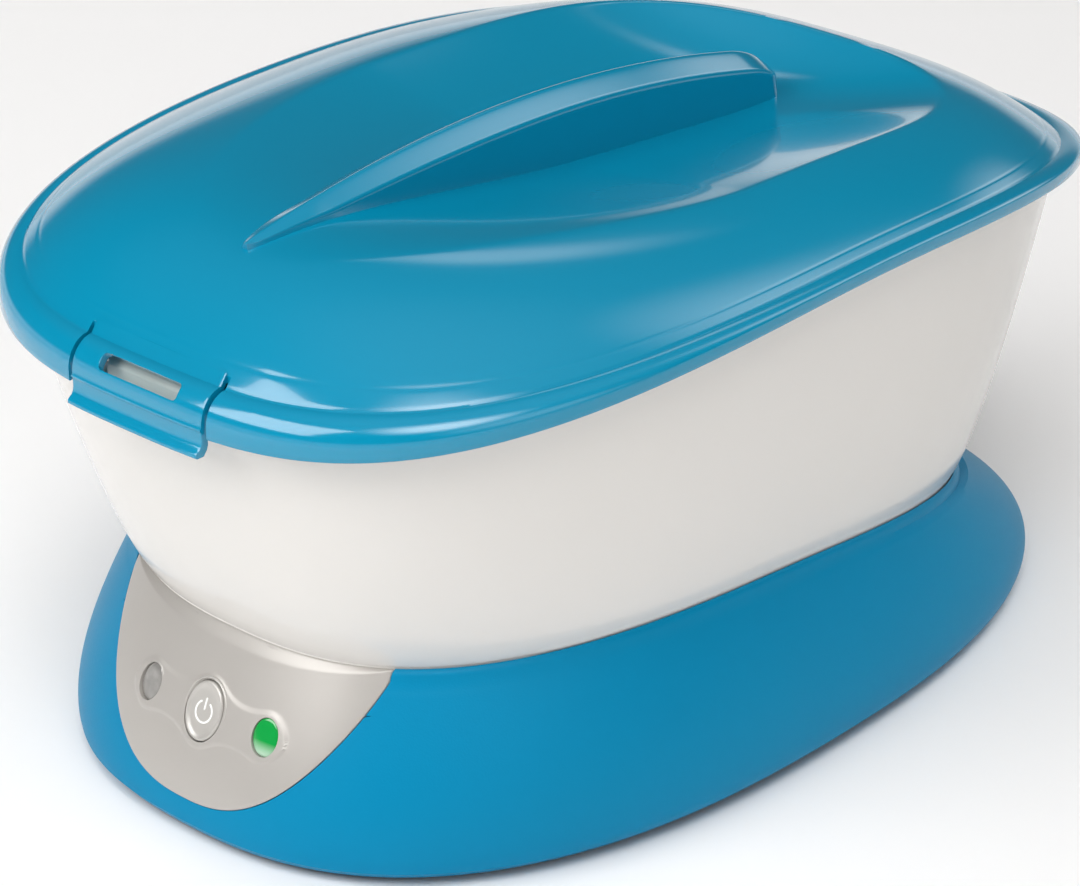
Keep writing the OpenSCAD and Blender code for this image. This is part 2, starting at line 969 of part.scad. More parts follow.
module switch_body() {
    color(dark)
    on_panel()
        difference() {
            translate([-4, -4, board_face + 0.05])
                cube([8, 8, 5]);
            translate([0, 0, board_face + 1])
                cylinder(r = plunger_r + 0.05, h = 6);
        }
}

module switch_plunger() {
    color(white)
    on_panel()
        translate([0, 0, board_face + 3])
            cylinder(r = plunger_r, h = stem_end - 0.3 - board_face - 3);
}

module board_relay() {
    color([0.16, 0.24, 0.42])
    on_panel()
        translate([12, -6, board_face - board_t - 13.05])
            cube([18, 12, 13]);
}

// ---- Wiring ----

// Round wire along a list of points
module wire(path, r) {
    m = len(path);
    n = 8;
    function unit(v) = v / norm(v);
    function way(i) = unit(path[min(i + 1, m - 1)] - path[max(i - 1, 0)]);
    rings = [for (i = [0:m - 1])
        let(d = way(i), s = unit(cross(d, wire_ref)), u = cross(s, d))
        [for (k = [0:n - 1]) path[i] + r * (cos(360 * k / n) * s + sin(360 * k / n) * u)]];
    polyhedron(
        points = concat([for (q = rings) each q], [path[0], path[m - 1]]),
        faces = concat(
            [for (j = [0:m - 2]) for (k = [0:n - 1]) let(l = (k + 1) % n) each [
                [j * n + k, j * n + l, (j + 1) * n + l], [j * n + k, (j + 1) * n + l, (j + 1) * n + k]]],
            [for (k = [0:n - 1]) [m * n, (k + 1) % n, k]],
            [for (k = [0:n - 1]) [(m - 1) * n + k, (m - 1) * n + (k + 1) % n, m * n + 1]]
        ),
        convexity = 6
    );
}

// Smooth curve from a to b that leaves along u and arrives along v
function bend(a, u, b, v, steps = 14) = [for (i = [0:steps])
    let(t = i / steps, s = 1 - t)
    pow(s, 3) * a + 3 * pow(s, 2) * t * (a + u) + 3 * s * pow(t, 2) * (b - v) + pow(t, 3) * b];

module terminal_block() {
    color(white)
    translate([-20, block_y - 8, plate_top + 0.1])
        difference() {
            cube([40, 16, 14]);
            for (i = [0:2])
                translate([7 + 13 * i, 8, 6])
                    cylinder(r = 3, h = 10);
        }
}

module heater_wires() {
    z = spreader_z - element_r - 0.1;
    y = element_bend_y - 130.2;
    color([0.75, 0.15, 0.12])
    for (s = [-1, 1])
        wire(bend([s * element_x, y, z], [0, -25, 0],
                  [s * 9, block_y - 9.2, plate_top + 8], [s * -4, 60, -30]), heater_wire_r);
}

module board_wires() {
    color([0.15, 0.15, 0.17])
    for (s = [-1, 1])
        wire(bend([s * 3 - 22, -158.3, 34.3], [0, 25, -8],
                  [s * 2, block_y - 9.2, plate_top + 4], [0, 40, 0]), board_wire_r);
}

// ---- Lid ----

// Fraction of the way from the lid's middle to its edge
function lid_frac(x, y) =
    pow(pow(abs(x) / lid_half_wid, rim_power) + pow(abs(y) / lid_half_len, rim_power), 1 / rim_power);

function lid_edge_level(y) = arched(y, lid_half_len, lid_edge_z, rim_drop);

// Height of the plain dome, before the recess is scooped out
function dome_level(x, y) =
    let(s = lid_frac(x, y))
    let(yb = s > 0.001 ? y / s * dome_frac : 0)
    let(end = pow(yb / lid_half_len, 2))
    let(edge = lid_edge_z + dome_step - (yb < 0 ? front_drop : rear_drop) * end)
    let(mid = lid_edge_z + dome_rise - dome_tilt * y)
    edge + (mid - edge) * (1 - pow(s / dome_frac, dome_power + dome_power_end * end));

// Depth of the scooped recess around the handle
function recess_at(x, y) =
    let(v = y - recess_mid_y)
    let(e = pow(x / recess_half_wid, 2)
        + (v < 0 ? pow(-v / recess_front, 1.5) : pow(v / recess_rear, 7)))
    (recess_depth + recess_slope * y) * max(0, 1 - e);

function lid_level(x, y) = dome_level(x, y) - recess_at(x, y);

// Ring of the lid's skin: s is the fraction out from the middle, drop how far it is lowered
function lid_ring(s, drop = 0) = [
    for (i = [0:fine_sides - 1])
        let(p = oval(360 * i / fine_sides, lid_half_len * s, lid_half_wid * s, rim_power))
        [p.x, p.y, lid_level(p.x, p.y) - drop]
];

// Ring on the rounded edge at angle a up its bend, from the skirt's top to the shoulder
function edge_ring(a, inset) =
    let(s = mix(1, shoulder_frac, 1 - cos(a)))
    [for (i = [0:fine_sides - 1])
        let(b = oval(360 * i / fine_sides, lid_half_len, lid_half_wid, rim_power))
        let(q = oval(360 * i / fine_sides, lid_half_len * shoulder_frac,
                     lid_half_wid * shoulder_frac, rim_power))
        let(p = oval(360 * i / fine_sides, lid_half_len * s - inset, lid_half_wid * s - inset, rim_power))
        let(z0 = lid_edge_level(b.y) + lid_skirt, z1 = lid_level(q.x, q.y))
        [p.x, p.y, mix(z0, z1, sin(a)) - inset * sin(a)]];

function lid_rim_ring(inset, dz) =
    ring(lid_half_len - inset, lid_half_wid - inset, rim_power, lid_edge_z + dz,
         rim_drop, 0, lid_half_len, fine_sides);

module lid_shell() {
    loft_solid(
        [
            for (s = inner_fracs) lid_ring(s, lid_wall),
            for (a = [70, 35]) edge_ring(a, lid_wall),
            lid_rim_ring(lid_wall, lid_skirt),
            lid_rim_ring(lid_wall, 0.6),
            lid_rim_ring(lid_wall - 0.6, 0),
            lid_rim_ring(0.6, 0),
            lid_rim_ring(0, 0.6),
            for (a = [0, 20, 40, 60, 78]) edge_ring(a, 0),
            for (s = outer_fracs) lid_ring(s)
        ],
        [0, 0, lid_level(0, 0) - lid_wall],
        [0, 0, lid_level(0, 0)]
    );
}

// Fall of the crest over the fin's rounded rear end
function fin_nose(y) =
    let(u = min(1, max(0, y - fin_rear_y + fin_nose_len) / fin_nose_len))
    fin_nose_drop * (1 - sqrt(1 - u * u));

// Crest height and half width of the handle fin at y
function fin_crest(y) = lid_edge_z + fin_rise - fin_curve * pow(y - fin_peak_y, 2) - fin_nose(y);

function fin_width(y) = fin_half_wid * min(
    sqrt(max(0.02, 1 - pow(max(0, fin_widest_y - y) / (fin_widest_y - fin_front_y), 2))),
    sqrt(max(0.05, 1 - pow(max(0, y - fin_rear_y + fin_rear_round) / fin_rear_round, 2)))
);

// Cross-section of the fin at y, thinned by wall, standing on height foot: fin_ridge gives each
// point's share of the half width and of the drop from the crest to the side
function fin_section(y, wall, foot) =
    let(w = max(0.3, fin_width(y) - wall), top = fin_crest(y) - wall)
    let(side = min(top - 1, max(top - fin_crown * (w / fin_half_wid), foot + 1)))
    [
        [-w - 0.8, y, foot], [-w, y, side],
        for (p = fin_ridge) [-w * p.x, y, top - (top - side) * p.y],
        [0, y, top],
        for (i = [len(fin_ridge) - 1:-1:0]) [w * fin_ridge[i].x, y, top - (top - side) * fin_ridge[i].y],
        [w, y, side], [w + 0.8, y, foot]
    ];

module fin_solid(wall, sink) {
    stations = [for (i = [0:fin_steps]) mix(fin_front_y + wall, fin_rear_y - wall, sin(90 * i / fin_steps))];
    sections = [for (y = stations) fin_section(y, wall, lid_level(fin_width(y), y) - sink)];
    n = len(sections[0]);
    m = len(sections);
    polyhedron(
        points = [for (s = sections) each s],
        faces = concat(
            [for (j = [0:m - 2]) for (i = [0:n - 1]) let(k = (i + 1) % n) each [
                [j * n + i, (j + 1) * n + k, j * n + k], [j * n + i, (j + 1) * n + i, (j + 1) * n + k]]],
            [for (i = [1:n - 2]) [0, i, i + 1]],
            [for (i = [1:n - 2]) let(q = (m - 1) * n) [q, q + i + 1, q + i]]
        ),
        convexity = 6
    );
}

module lid() {
    color(blue, 0.8)
    difference() {
        union() {
            lid_shell();
            fin_solid(0, lid_wall / 2);
        }
        fin_solid(lid_wall, lid_wall + 3);
        translate([-tab_half_wid - slit_w, -lid_half_len - 20, 100])
            cube([2 * (tab_half_wid + slit_w), lid_half_len + 20 + tab_root_y, 400]);
    }
}

// Side profile of the latch tab at its middle, as y and z
function tab_profile() =
    let(y0 = -lid_half_len, z0 = lid_edge_z - rim_drop)
    let(outer = [for (a = [90:-15:0]) tab_arc(a, 0)], inner = [for (a = [0:15:90]) tab_arc(a, lid_wall)])
    concat(
        [[tab_root_y - tab_gap, dome_level(0, tab_root_y - tab_gap)]],
        outer,
        [[y0, z0 - 1], [y0 - 0.6, z0 - 3], [y0 - 2.6, z0 - 4.2], [y0 - 2.6, z0 - 6], [y0 + 1, z0 - 6]],
        [[y0 + lid_wall, z0 - 3]],
        inner,
        [[tab_root_y - tab_gap, dome_level(0, tab_root_y - tab_gap) - lid_wall * 1.2]]
    );

// Point on the tab's rounded bend, matching the lid's rounded edge
function tab_arc(a, inset) =
    let(y0 = -lid_half_len, y1 = y0 * shoulder_frac)
    let(z0 = lid_edge_level(y0) + lid_skirt, z1 = dome_level(0, y1))
    [mix(y0, y1, 1 - cos(a)) + inset * cos(a), mix(z0, z1, sin(a)) - inset * sin(a) * 1.1];

module latch_tab() {
    profile = tab_profile();
    n = len(profile);
    m = tab_steps;
    function bow(x) = lid_half_len * (1 - pow(1 - pow(abs(x) / lid_half_wid, rim_power), 1 / rim_power));
    color(blue, 0.8)
    difference() {
        polyhedron(
            points = [for (j = [0:m])
                let(x = mix(-tab_half_wid, tab_half_wid, j / m))
                for (p = profile)
                    [x, p.x + bow(x) * min(1, (tab_root_y - tab_gap - p.x) / 4), p.y]],
            faces = concat(
                [for (j = [0:m - 1]) for (i = [0:n - 1]) let(k = (i + 1) % n) each [
                    [j * n + i, (j + 1) * n + i, (j + 1) * n + k], [j * n + i, (j + 1) * n + k, j * n + k]]],
                [[for (i = [0:n - 1]) i]],
                [[for (i = [n - 1:-1:0]) m * n + i]]
            ),
            convexity = 8
        );
        translate([0, slot_y, slot_z])
            rotate([slot_lean, 0, 0])
                translate([0, 0, -8])
                    linear_extrude(20)
                        rounded_slot(slot_half_wid, slot_half_hgt, 1.6);
    }
}

module rounded_slot(w, h, r) {
    square([2 * w, 2 * (h - r)], center = true);
    square([2 * (w - r), 2 * h], center = true);
    for (sx = [-1, 1])
        for (sy = [-1, 1])
            translate([sx * (w - r), sy * (h - r)])
                circle(r = r, $fn = 24);
}

base_housing();
bottom_plate();
rubber_feet();
bottom_screws();
tub_screws();
outer_tub();
rim_gasket();
wax_pan();
pan_grille();
heat_spreader();
heater_element();
heater_brackets();
bracket_nuts();
insulation_band();
thermostat();
thermal_fuse();
fuse_strap();
control_panel();
power_button();
heating_lens();
ready_lens();
control_board();
board_screws();
heating_led();
ready_led();
switch_body();
switch_plunger();
board_relay();
terminal_block();
heater_wires();
board_wires();
cord_gland();
gland_nut();
lid();
latch_tab();
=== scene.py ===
import json
import math

import bpy
import numpy as np
from mathutils import Matrix, Vector


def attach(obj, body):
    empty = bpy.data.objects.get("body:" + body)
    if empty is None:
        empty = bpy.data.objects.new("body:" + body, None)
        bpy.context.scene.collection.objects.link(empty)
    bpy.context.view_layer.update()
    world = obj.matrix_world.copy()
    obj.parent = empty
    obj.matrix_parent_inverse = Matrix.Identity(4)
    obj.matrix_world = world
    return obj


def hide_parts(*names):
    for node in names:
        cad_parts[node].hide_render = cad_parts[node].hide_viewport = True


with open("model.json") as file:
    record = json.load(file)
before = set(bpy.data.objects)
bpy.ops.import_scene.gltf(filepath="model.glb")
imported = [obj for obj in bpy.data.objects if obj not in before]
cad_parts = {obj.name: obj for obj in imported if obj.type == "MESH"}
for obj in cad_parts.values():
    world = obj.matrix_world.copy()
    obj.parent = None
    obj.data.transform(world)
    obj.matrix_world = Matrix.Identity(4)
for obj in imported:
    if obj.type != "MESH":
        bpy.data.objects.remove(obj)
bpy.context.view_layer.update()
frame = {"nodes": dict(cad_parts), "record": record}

# Shapes are worked out in millimetres, as in the CAD, and made in metres.
MM = 0.001

# ---------- curves shared with the CAD ----------

LID_LEN, LID_WID, LID_Z, RIM_DROP, LID_WALL = 200.0, 140.0, 183.5, 22.0, 2.6
RIM_POWER, SEAM_POWER, SKIRT_POWER = 2.9, 2.57, 2.45
SEAM_LEN, SEAM_WID, SEAM_Z, SEAM_DROP, SEAM_TILT = 163.0, 112.0, 69.0, 15.3, 15.1
SKIRT_LEN, SKIRT_WID, SKIRT_SHIFT, FOOT_H = 194.0, 128.0, 5.0, 3.0
TUB_LEN, TUB_WID, TUB_RIM_UP, TUB_LIP = 191.0, 133.0, 1.0, 9.0
LIP_PLAY, TUB_FOOT, LEDGE_W, LIP_T, SHELL = 0.5, 9.0, 17.0, 3.0, 2.6
TUB_PLAY, TUB_SWELL = LIP_PLAY + 0.4, 0.75
PAN_LEN, PAN_WID, PAN_Z, PAN_WALL, GASKET_T = 140.0, 92.0, 90.0, 1.5, 0.8
PANEL_HALF, PANEL_FOOT, PANEL_SIDE, PANEL_ROUND = 61.0, 14.5, 1.3, 0.4
PANEL_LEAN, BUTTON_Y, BUTTON_Z = 24.0, -176.8, 42.5
LENS_X, LENS_Y, LENS_YAW = 27.5, -175.2, 9.0
BUTTON_W, BUTTON_H, LENS_W, LENS_H = 8.2, 10.4, 5.2, 6.5
# The base's wall bulges by BASE_BULGE, and moves from foot to seam faster at the front
BASE_BULGE, BULGE_POWER, SWELL_SIDE, SWELL_FRONT = 5.0, 0.6, 1.6, 0.98
# The lid's rolled edge ends at SHOULDER, and its dome starts at DOME_EDGE, as shares of its size
SHOULDER, DOME_EDGE = 0.955, 0.935
EDGE_RISE, EDGE_FALL_FRONT, EDGE_FALL_REAR = 7, 11.4, 21.5
DOME_RISE, DOME_TILT, DOME_POWER, DOME_POWER_END = 20.5, 0.03, 4, 2.5
RECESS_WID, RECESS_FRONT, RECESS_REAR, RECESS_Y = 88, 148, 150, -5
RECESS_DEPTH, RECESS_TILT, RECESS_BLEND = 14.5, 0.06, 0.02
FIN_RISE, FIN_CURVE, FIN_PEAK, FIN_CROWN = 32, 9.2e-4, -35, 0.72
FIN_FRONT, FIN_WIDEST, FIN_REAR, FIN_HALF = -150, -20, 112, 10
FIN_REAR_ROUND, FIN_NOSE, FIN_NOSE_DROP = 8, 20.3, 7
SIDES = 288


def angles(count):
    return np.arange(count) * 2 * math.pi / count


def oval(a, length, width, power):
    c, s = np.cos(a), np.sin(a)
    k = (np.abs(c) ** power + np.abs(s) ** power) ** (-1 / power)
    return width * k * c, length * k * s


def arched(y, length, z, drop, tilt=0.0):
    return z - drop * (y / length) ** 2 - tilt * (y / length)


def ring(length, width, power, z, drop=0.0, tilt=0.0, ref=None, count=SIDES):
    x, y = oval(angles(count), length, width, power)
    return np.column_stack([x, y, arched(y, ref or length, z, drop, tilt)])


def mix(a, b, t):
    return a + (b - a) * t


def seam_ring(inset=0.0, dz=0.0):
    return ring(SEAM_LEN - inset, SEAM_WID - inset, SEAM_POWER, SEAM_Z + dz, SEAM_DROP, SEAM_TILT,
                SEAM_LEN)


def skirt_ring(inset=0.0, dz=0.0):
    r = ring(SKIRT_LEN - inset, SKIRT_WID - inset, SKIRT_POWER, FOOT_H + dz)
    return r + np.array([0, SKIRT_SHIFT, 0])


def bulge(t):
    return BASE_BULGE * np.sin(math.pi * np.power(t, BULGE_POWER))


def swell_at(a):
    return mix(SWELL_SIDE, SWELL_FRONT, np.maximum(0, -np.sin(a)) ** 4)


def base_ring(t, inset=0.0):
    a = skirt_ring(inset - bulge(t))
    b = seam_ring(inset - bulge(t))
    f = t ** swell_at(angles(SIDES))
    out = mix(a, b, f[:, None])
    out[:, 2] = mix(a[:, 2], b[:, 2], t)
    return out


def seam_level(y):
    return arched(y, SEAM_LEN, SEAM_Z, SEAM_DROP, SEAM_TILT)


def tub_top_ring(inset=0.0, dz=0.0):
    return ring(TUB_LEN - inset, TUB_WID - inset, RIM_POWER, LID_Z + TUB_RIM_UP + dz, RIM_DROP, 0,
                LID_LEN)


def tub_ring(t, inset=0.0):
    a, b = seam_ring(inset + TUB_PLAY), tub_top_ring(inset)
    out = mix(a, b, t ** TUB_SWELL)
    out[:, 2] = mix(a[:, 2], b[:, 2], t)
    return out


def lid_edge_level(y):
    return arched(y, LID_LEN, LID_Z, RIM_DROP)


def dome_level(x, y):
    """Height of the lid's dome at x and y, without the scoop."""
    s = (np.abs(x / LID_WID) ** RIM_POWER + np.abs(y / LID_LEN) ** RIM_POWER) ** (1 / RIM_POWER)
    yb = y / np.maximum(s, 1e-6) * DOME_EDGE
    end = (yb / LID_LEN) ** 2
    edge = LID_Z + EDGE_RISE - np.where(yb < 0, EDGE_FALL_FRONT, EDGE_FALL_REAR) * end
    middle = LID_Z + DOME_RISE - DOME_TILT * y
    return edge + (middle - edge) * (1 - (s / DOME_EDGE) ** (DOME_POWER + DOME_POWER_END * end))


def recess_at(x, y):
    """Depth of the scoop round the fin: pointed at the front, blunt at the rear."""
    v = y - RECESS_Y
    e = (x / RECESS_WID) ** 2 + np.where(v < 0, (np.maximum(-v, 0) / RECESS_FRONT) ** 1.5,
                                         (np.maximum(v, 0) / RECESS_REAR) ** 7)
    inside = 0.5 * (1 - e + np.sqrt((1 - e) ** 2 + RECESS_BLEND ** 2))
    return (RECESS_DEPTH + RECESS_TILT * y) * np.where(e > 1.4, 0, inside)


def lid_level(x, y):
    return dome_level(x, y) - recess_at(x, y)


# ---------- mesh building ----------


def new_object(name, verts, faces, smooth=True, sharp=35):
    """A mesh object from millimetre points; edges sharper than the angle stay crisp."""
    mesh = bpy.data.meshes.new(name)
    mesh.from_pydata((np.asarray(verts, float) * MM).tolist(), [], [list(f) for f in faces])
    mesh.validate()
    mesh.update()
    obj = bpy.data.objects.new(name, mesh)
    bpy.context.scene.collection.objects.link(obj)
    if smooth:
        shade(obj, sharp)
    return obj


def shade(obj, sharp=35):
    obj.data.polygons.foreach_set("use_smooth", [True] * len(obj.data.polygons))
    obj.data.set_sharp_from_angle(angle=math.radians(sharp))


def band_faces(rings, closed):
    """Quads between successive rings of equal length."""
    n, m = len(rings[0]), len(rings)
    i = np.arange(n)
    k = (i + 1) % n
    faces = []
    for j in range(m if closed else m - 1):
        u, v = j * n, ((j + 1) % m) * n
        faces += np.column_stack([u + i, u + k, v + k, v + i]).tolist()
    return faces


def loft_tube(rings):
    return np.vstack(rings), band_faces(rings, True)


def loft_solid(rings, low, high):
    n, m = len(rings[0]), len(rings)
    verts = np.vstack(rings + [np.array([low, high], float)])
    faces = band_faces(rings, False)
    for i in range(n):
        k = (i + 1) % n
        faces.append([k, i, m * n])
        faces.append([(m - 1) * n + i, (m - 1) * n + k, m * n + 1])
    return verts, faces


def joined(parts):
    """Several (verts, faces) pairs as one."""
    verts, faces, at = [], [], 0
    for v, f in parts:
        verts.append(np.asarray(v, float))
        faces += [[q + at for q in face] for face in f]
        at += len(v)
    return np.vstack(verts), faces


def lathe(profile, centre=(0, 0, 0)):
    """Closed solid of revolution about a vertical axis through centre; profile is (radius, height)."""
    a = angles(40)
    rings = [np.column_stack([r * np.cos(a), r * np.sin(a), np.full(len(a), z)]) for r, z in profile]
    v, f = loft_solid(rings, (0, 0, profile[0][1]), (0, 0, profile[-1][1]))
    return v + np.array(centre, float), f


def placed(verts, matrix):
    v = np.asarray(verts, float)
    m = np.array(matrix, float)
    return v @ m[:3, :3].T + m[:3, 3]


def cut(obj, verts, faces):
    """Takes a closed solid, in millimetres, out of obj."""
    tool = new_object("cutter", verts, faces, smooth=False)
    mod = obj.modifiers.new("cut", "BOOLEAN")
    mod.object, mod.operation, mod.solver = tool, "DIFFERENCE", "EXACT"
    dg = bpy.context.evaluated_depsgraph_get()
    mesh = bpy.data.meshes.new_from_object(obj.evaluated_get(dg))
    obj.modifiers.clear()
    obj.data = mesh
    bpy.data.objects.remove(tool)


def box_solid(lo, hi):
    (a, b, c), (d, e, f) = lo, hi
    verts = [(a, b, c), (d, b, c), (d, e, c), (a, e, c), (a, b, f), (d, b, f), (d, e, f), (a, e, f)]
    faces = [(0, 3, 2, 1), (4, 5, 6, 7), (0, 1, 5, 4), (1, 2, 6, 5), (2, 3, 7, 6), (3, 0, 4, 7)]
    return np.array(verts, float), faces


def panel_frame(x=0.0, y=BUTTON_Y, yaw=0.0):
    """Local frame on the panel: +Z outward, +Y up the slope."""
    return (Matrix.Translation((x, y, BUTTON_Z)) @ Matrix.Rotation(math.radians(yaw), 4, "Z")
            @ Matrix.Rotation(math.radians(90 - PANEL_LEAN), 4, "X"))


def oval_ring(w, h, z):
    x, y = oval(angles(96), h, w, 2.0)
    return np.column_stack([x, y, np.full(len(x), z)])


def cut_oval(obj, w, h, matrix, low=-12, high=8):
    """Cuts an oval hole in obj along the Z axis of matrix, from low to high."""
    v, f = loft_solid([oval_ring(w, h, z) for z in (low, high)], (0, 0, low), (0, 0, high))
    cut(obj, placed(v, matrix), f)


# ---------- materials ----------


def srgb(r, g, b):
    def line(c):
        c /= 255
        return c / 12.92 if c <= 0.04045 else ((c + 0.055) / 1.055) ** 2.4
    return (line(r), line(g), line(b), 1.0)


def material(name, dark, light, rough=(0.3, 0.4), mottle=18, grain=900, bump=0.05, depth=0.0002,
             metallic=0.0, stretch=(1, 1, 1), **sockets):
    """Principled plastic, metal or rubber whose colour drifts between two tones, with a fine bump."""
    mat = bpy.data.materials.new(name)
    mat.use_nodes = True
    tree = mat.node_tree
    shader = tree.nodes["Principled BSDF"]
    coords = tree.nodes.new("ShaderNodeTexCoord")
    scale = tree.nodes.new("ShaderNodeMapping")
    scale.inputs["Scale"].default_value = stretch
    tree.links.new(coords.outputs["Object"], scale.inputs["Vector"])

    def noise(size, detail):
        n = tree.nodes.new("ShaderNodeTexNoise")
        n.inputs["Scale"].default_value = size
        n.inputs["Detail"].default_value = detail
        tree.links.new(scale.outputs["Vector"], n.inputs["Vector"])
        return n

    broad, fine = noise(mottle, 3), noise(grain, 2)
    tone = tree.nodes.new("ShaderNodeMix")
    tone.data_type = "RGBA"
    tone.inputs["A"].default_value = dark
    tone.inputs["B"].default_value = light
    tree.links.new(broad.outputs["Fac"], tone.inputs["Factor"])
    tree.links.new(tone.outputs["Result"], shader.inputs["Base Color"])
    spread = tree.nodes.new("ShaderNodeMapRange")
    spread.inputs["To Min"].default_value, spread.inputs["To Max"].default_value = rough
    tree.links.new(fine.outputs["Fac"], spread.inputs["Value"])
    tree.links.new(spread.outputs["Result"], shader.inputs["Roughness"])
    relief = tree.nodes.new("ShaderNodeBump")
    relief.inputs["Strength"].default_value = bump
    relief.inputs["Distance"].default_value = depth
    tree.links.new(fine.outputs["Fac"], relief.inputs["Height"])
    tree.links.new(relief.outputs["Normal"], shader.inputs["Normal"])
    shader.inputs["Metallic"].default_value = metallic
    for key, value in sockets.items():
        shader.inputs[key.replace("_", " ")].default_value = value
    return mat


def graded(mat, start, end, low, high):
    """Fades the base colour between two colours along a line, in metres, in place of the mottling."""
    tree = mat.node_tree
    shader = tree.nodes["Principled BSDF"]
    coords = tree.nodes.new("ShaderNodeTexCoord")
    s, e = Vector(start), Vector(end)
    way = (e - s) / (e - s).length_squared
    dot = tree.nodes.new("ShaderNodeVectorMath")
    dot.operation = "DOT_PRODUCT"
    dot.inputs[1].default_value = way
    shift = tree.nodes.new("ShaderNodeMath")
    shift.operation = "SUBTRACT"
    shift.inputs[1].default_value = s.dot(way)
    shift.use_clamp = True
    ease = tree.nodes.new("ShaderNodeMix")
    ease.data_type = "RGBA"
    ease.inputs["A"].default_value, ease.inputs["B"].default_value = low, high
    tree.links.new(coords.outputs["Object"], dot.inputs[0])
    tree.links.new(dot.outputs["Value"], shift.inputs[0])
    tree.links.new(shift.outputs["Value"], ease.inputs["Factor"])
    tree.links.new(ease.outputs["Result"], shader.inputs["Base Color"])


LOOKS = {
    "base_blue": material("base_blue", srgb(0, 128, 172), srgb(2, 136, 180), (0.36, 0.46), 9, 1500,
                          0.35, 0.00012, Specular_IOR_Level=0.11),
    "dark_plastic": material("dark_plastic", srgb(38, 38, 41), srgb(48, 48, 51), (0.42, 0.55), 30, 1200,
                             0.3),
    "rubber": material("rubber", srgb(30, 30, 31), srgb(42, 42, 43), (0.65, 0.8), 40, 1500, 0.4),
    "steel": material("steel", srgb(150, 150, 148), srgb(176, 176, 172), (0.24, 0.4), 60, 1800, 0.15,
                      metallic=1.0),
    "tub_white": material("tub_white", srgb(229, 226, 221), srgb(234, 231, 227), (0.13, 0.2), 7, 700,
                          0.03, 0.0001, Coat_Weight=0.35, Coat_Roughness=0.06),
    "gasket": material("gasket", srgb(122, 124, 126), srgb(136, 138, 140), (0.5, 0.62), 40, 1200, 0.2),
    "pan_metal": material("pan_metal", srgb(176, 178, 181), srgb(200, 201, 203), (0.22, 0.36), 14, 900,
                          0.12, metallic=1.0, stretch=(1, 1, 0.25)),
    "grille_plastic": material("grille_plastic", srgb(224, 224, 220), srgb(234, 234, 231), (0.35, 0.45),
                               20, 900, 0.1),
    "spreader_metal": material("spreader_metal", srgb(170, 172, 176), srgb(195, 196, 199), (0.28, 0.42),
                               30, 700, 0.15, metallic=1.0, stretch=(0.2, 1, 1)),
    "heater_sheath": material("heater_sheath", srgb(92, 84, 78), srgb(126, 118, 110), (0.35, 0.5), 60,
                              1400, 0.2, metallic=1.0),
    "felt": material("felt", srgb(196, 189, 172), srgb(224, 218, 204), (0.85, 0.95), 90, 2200, 0.8,
                     0.0006, Sheen_Weight=0.4),
    "thermostat_resin": material("thermostat_resin", srgb(70, 48, 34), srgb(92, 64, 46), (0.35, 0.5),
                                 60, 1300, 0.2),
    "ceramic_white": material("ceramic_white", srgb(224, 220, 208), srgb(236, 233, 224), (0.15, 0.25),
                              60, 900, 0.05, Coat_Weight=0.5),
    "panel_silver": material("panel_silver", srgb(180, 176, 171), srgb(187, 183, 178), (0.3, 0.4), 12,
                             2600, 0.12, 0.00006, metallic=0.25),
    "button_silver": material("button_silver", srgb(190, 187, 182), srgb(197, 194, 189), (0.26, 0.36),
                              20, 2600, 0.1, 0.00006, metallic=0.3),
    "mark_white": material("mark_white", srgb(244, 244, 241), srgb(250, 250, 248), (0.4, 0.5), 40, 1500,
                           0.05),
    "lens_clear": material("lens_clear", srgb(112, 110, 107), srgb(165, 163, 159), (0.08, 0.16), 260,
                           900, 0.02, Coat_Weight=0.8, Coat_Roughness=0.03),
    "lens_green": material("lens_green", srgb(20, 160, 72), srgb(24, 170, 78), (0.08, 0.14), 120, 900,
                           0.02, Coat_Weight=0.8, Coat_Roughness=0.03),
    "board_green": material("board_green", srgb(20, 92, 52), srgb(30, 112, 64), (0.3, 0.45), 120, 1500,
                            0.2),
    "led_red": material("led_red", srgb(170, 40, 34), srgb(200, 60, 50), (0.1, 0.2), 200, 1500, 0.02),
    "led_green": material("led_green", srgb(60, 170, 76), srgb(90, 200, 104), (0.1, 0.2), 200, 1500,
                          0.02),
    "relay_blue": material("relay_blue", srgb(34, 58, 118), srgb(44, 70, 134), (0.35, 0.45), 100, 1500,
                           0.2),
    "wire_red": material("wire_red", srgb(160, 30, 26), srgb(186, 44, 36), (0.4, 0.55), 120, 1500, 0.2),
    "wire_dark": material("wire_dark", srgb(34, 34, 38), srgb(50, 50, 55), (0.4, 0.5), 120, 1500, 0.2),
    "lid_blue": material("lid_blue", srgb(0, 137, 174), srgb(4, 145, 183), (0.1, 0.16), 6, 600, 0.02,
                         0.0001, Coat_Weight=0.5, Coat_Roughness=0.04),
    # The catch's own pale plastic with a green-grey tint that is painted light: it stands in for light
    # coming through the translucent blue lid
    "catch_pale": material("catch_pale", srgb(196, 206, 200), srgb(206, 213, 208), (0.25, 0.35), 30, 900,
                           0.05),
}
# Painted light on the ready lens: the pale lower part is a painted reflection, and the saturated green
# towards the top is the lit LED's glow behind the lens, painted into the colour
graded(LOOKS["lens_green"], (0.0275, -0.1775, 0.0375), (0.0275, -0.1765, 0.0415),
       srgb(176, 214, 186), srgb(18, 160, 70))


def finish_piece(obj, look, body, *nodes):
    """Gives a piece its look, its body and the CAD nodes it stands for."""
    obj.data.materials.clear()
    obj.data.materials.append(LOOKS[look])
    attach(obj, body)
    if nodes:
        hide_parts(*nodes)


# ---------- carried-over CAD nodes ----------

slot_of = {s["node"]: s["material_slot"] for s in frame["record"]["subparts"]}
for name, node in frame["nodes"].items():
    node.data.materials.clear()
    node.data.materials.append(LOOKS[slot_of[name]])

# ---------- base ----------

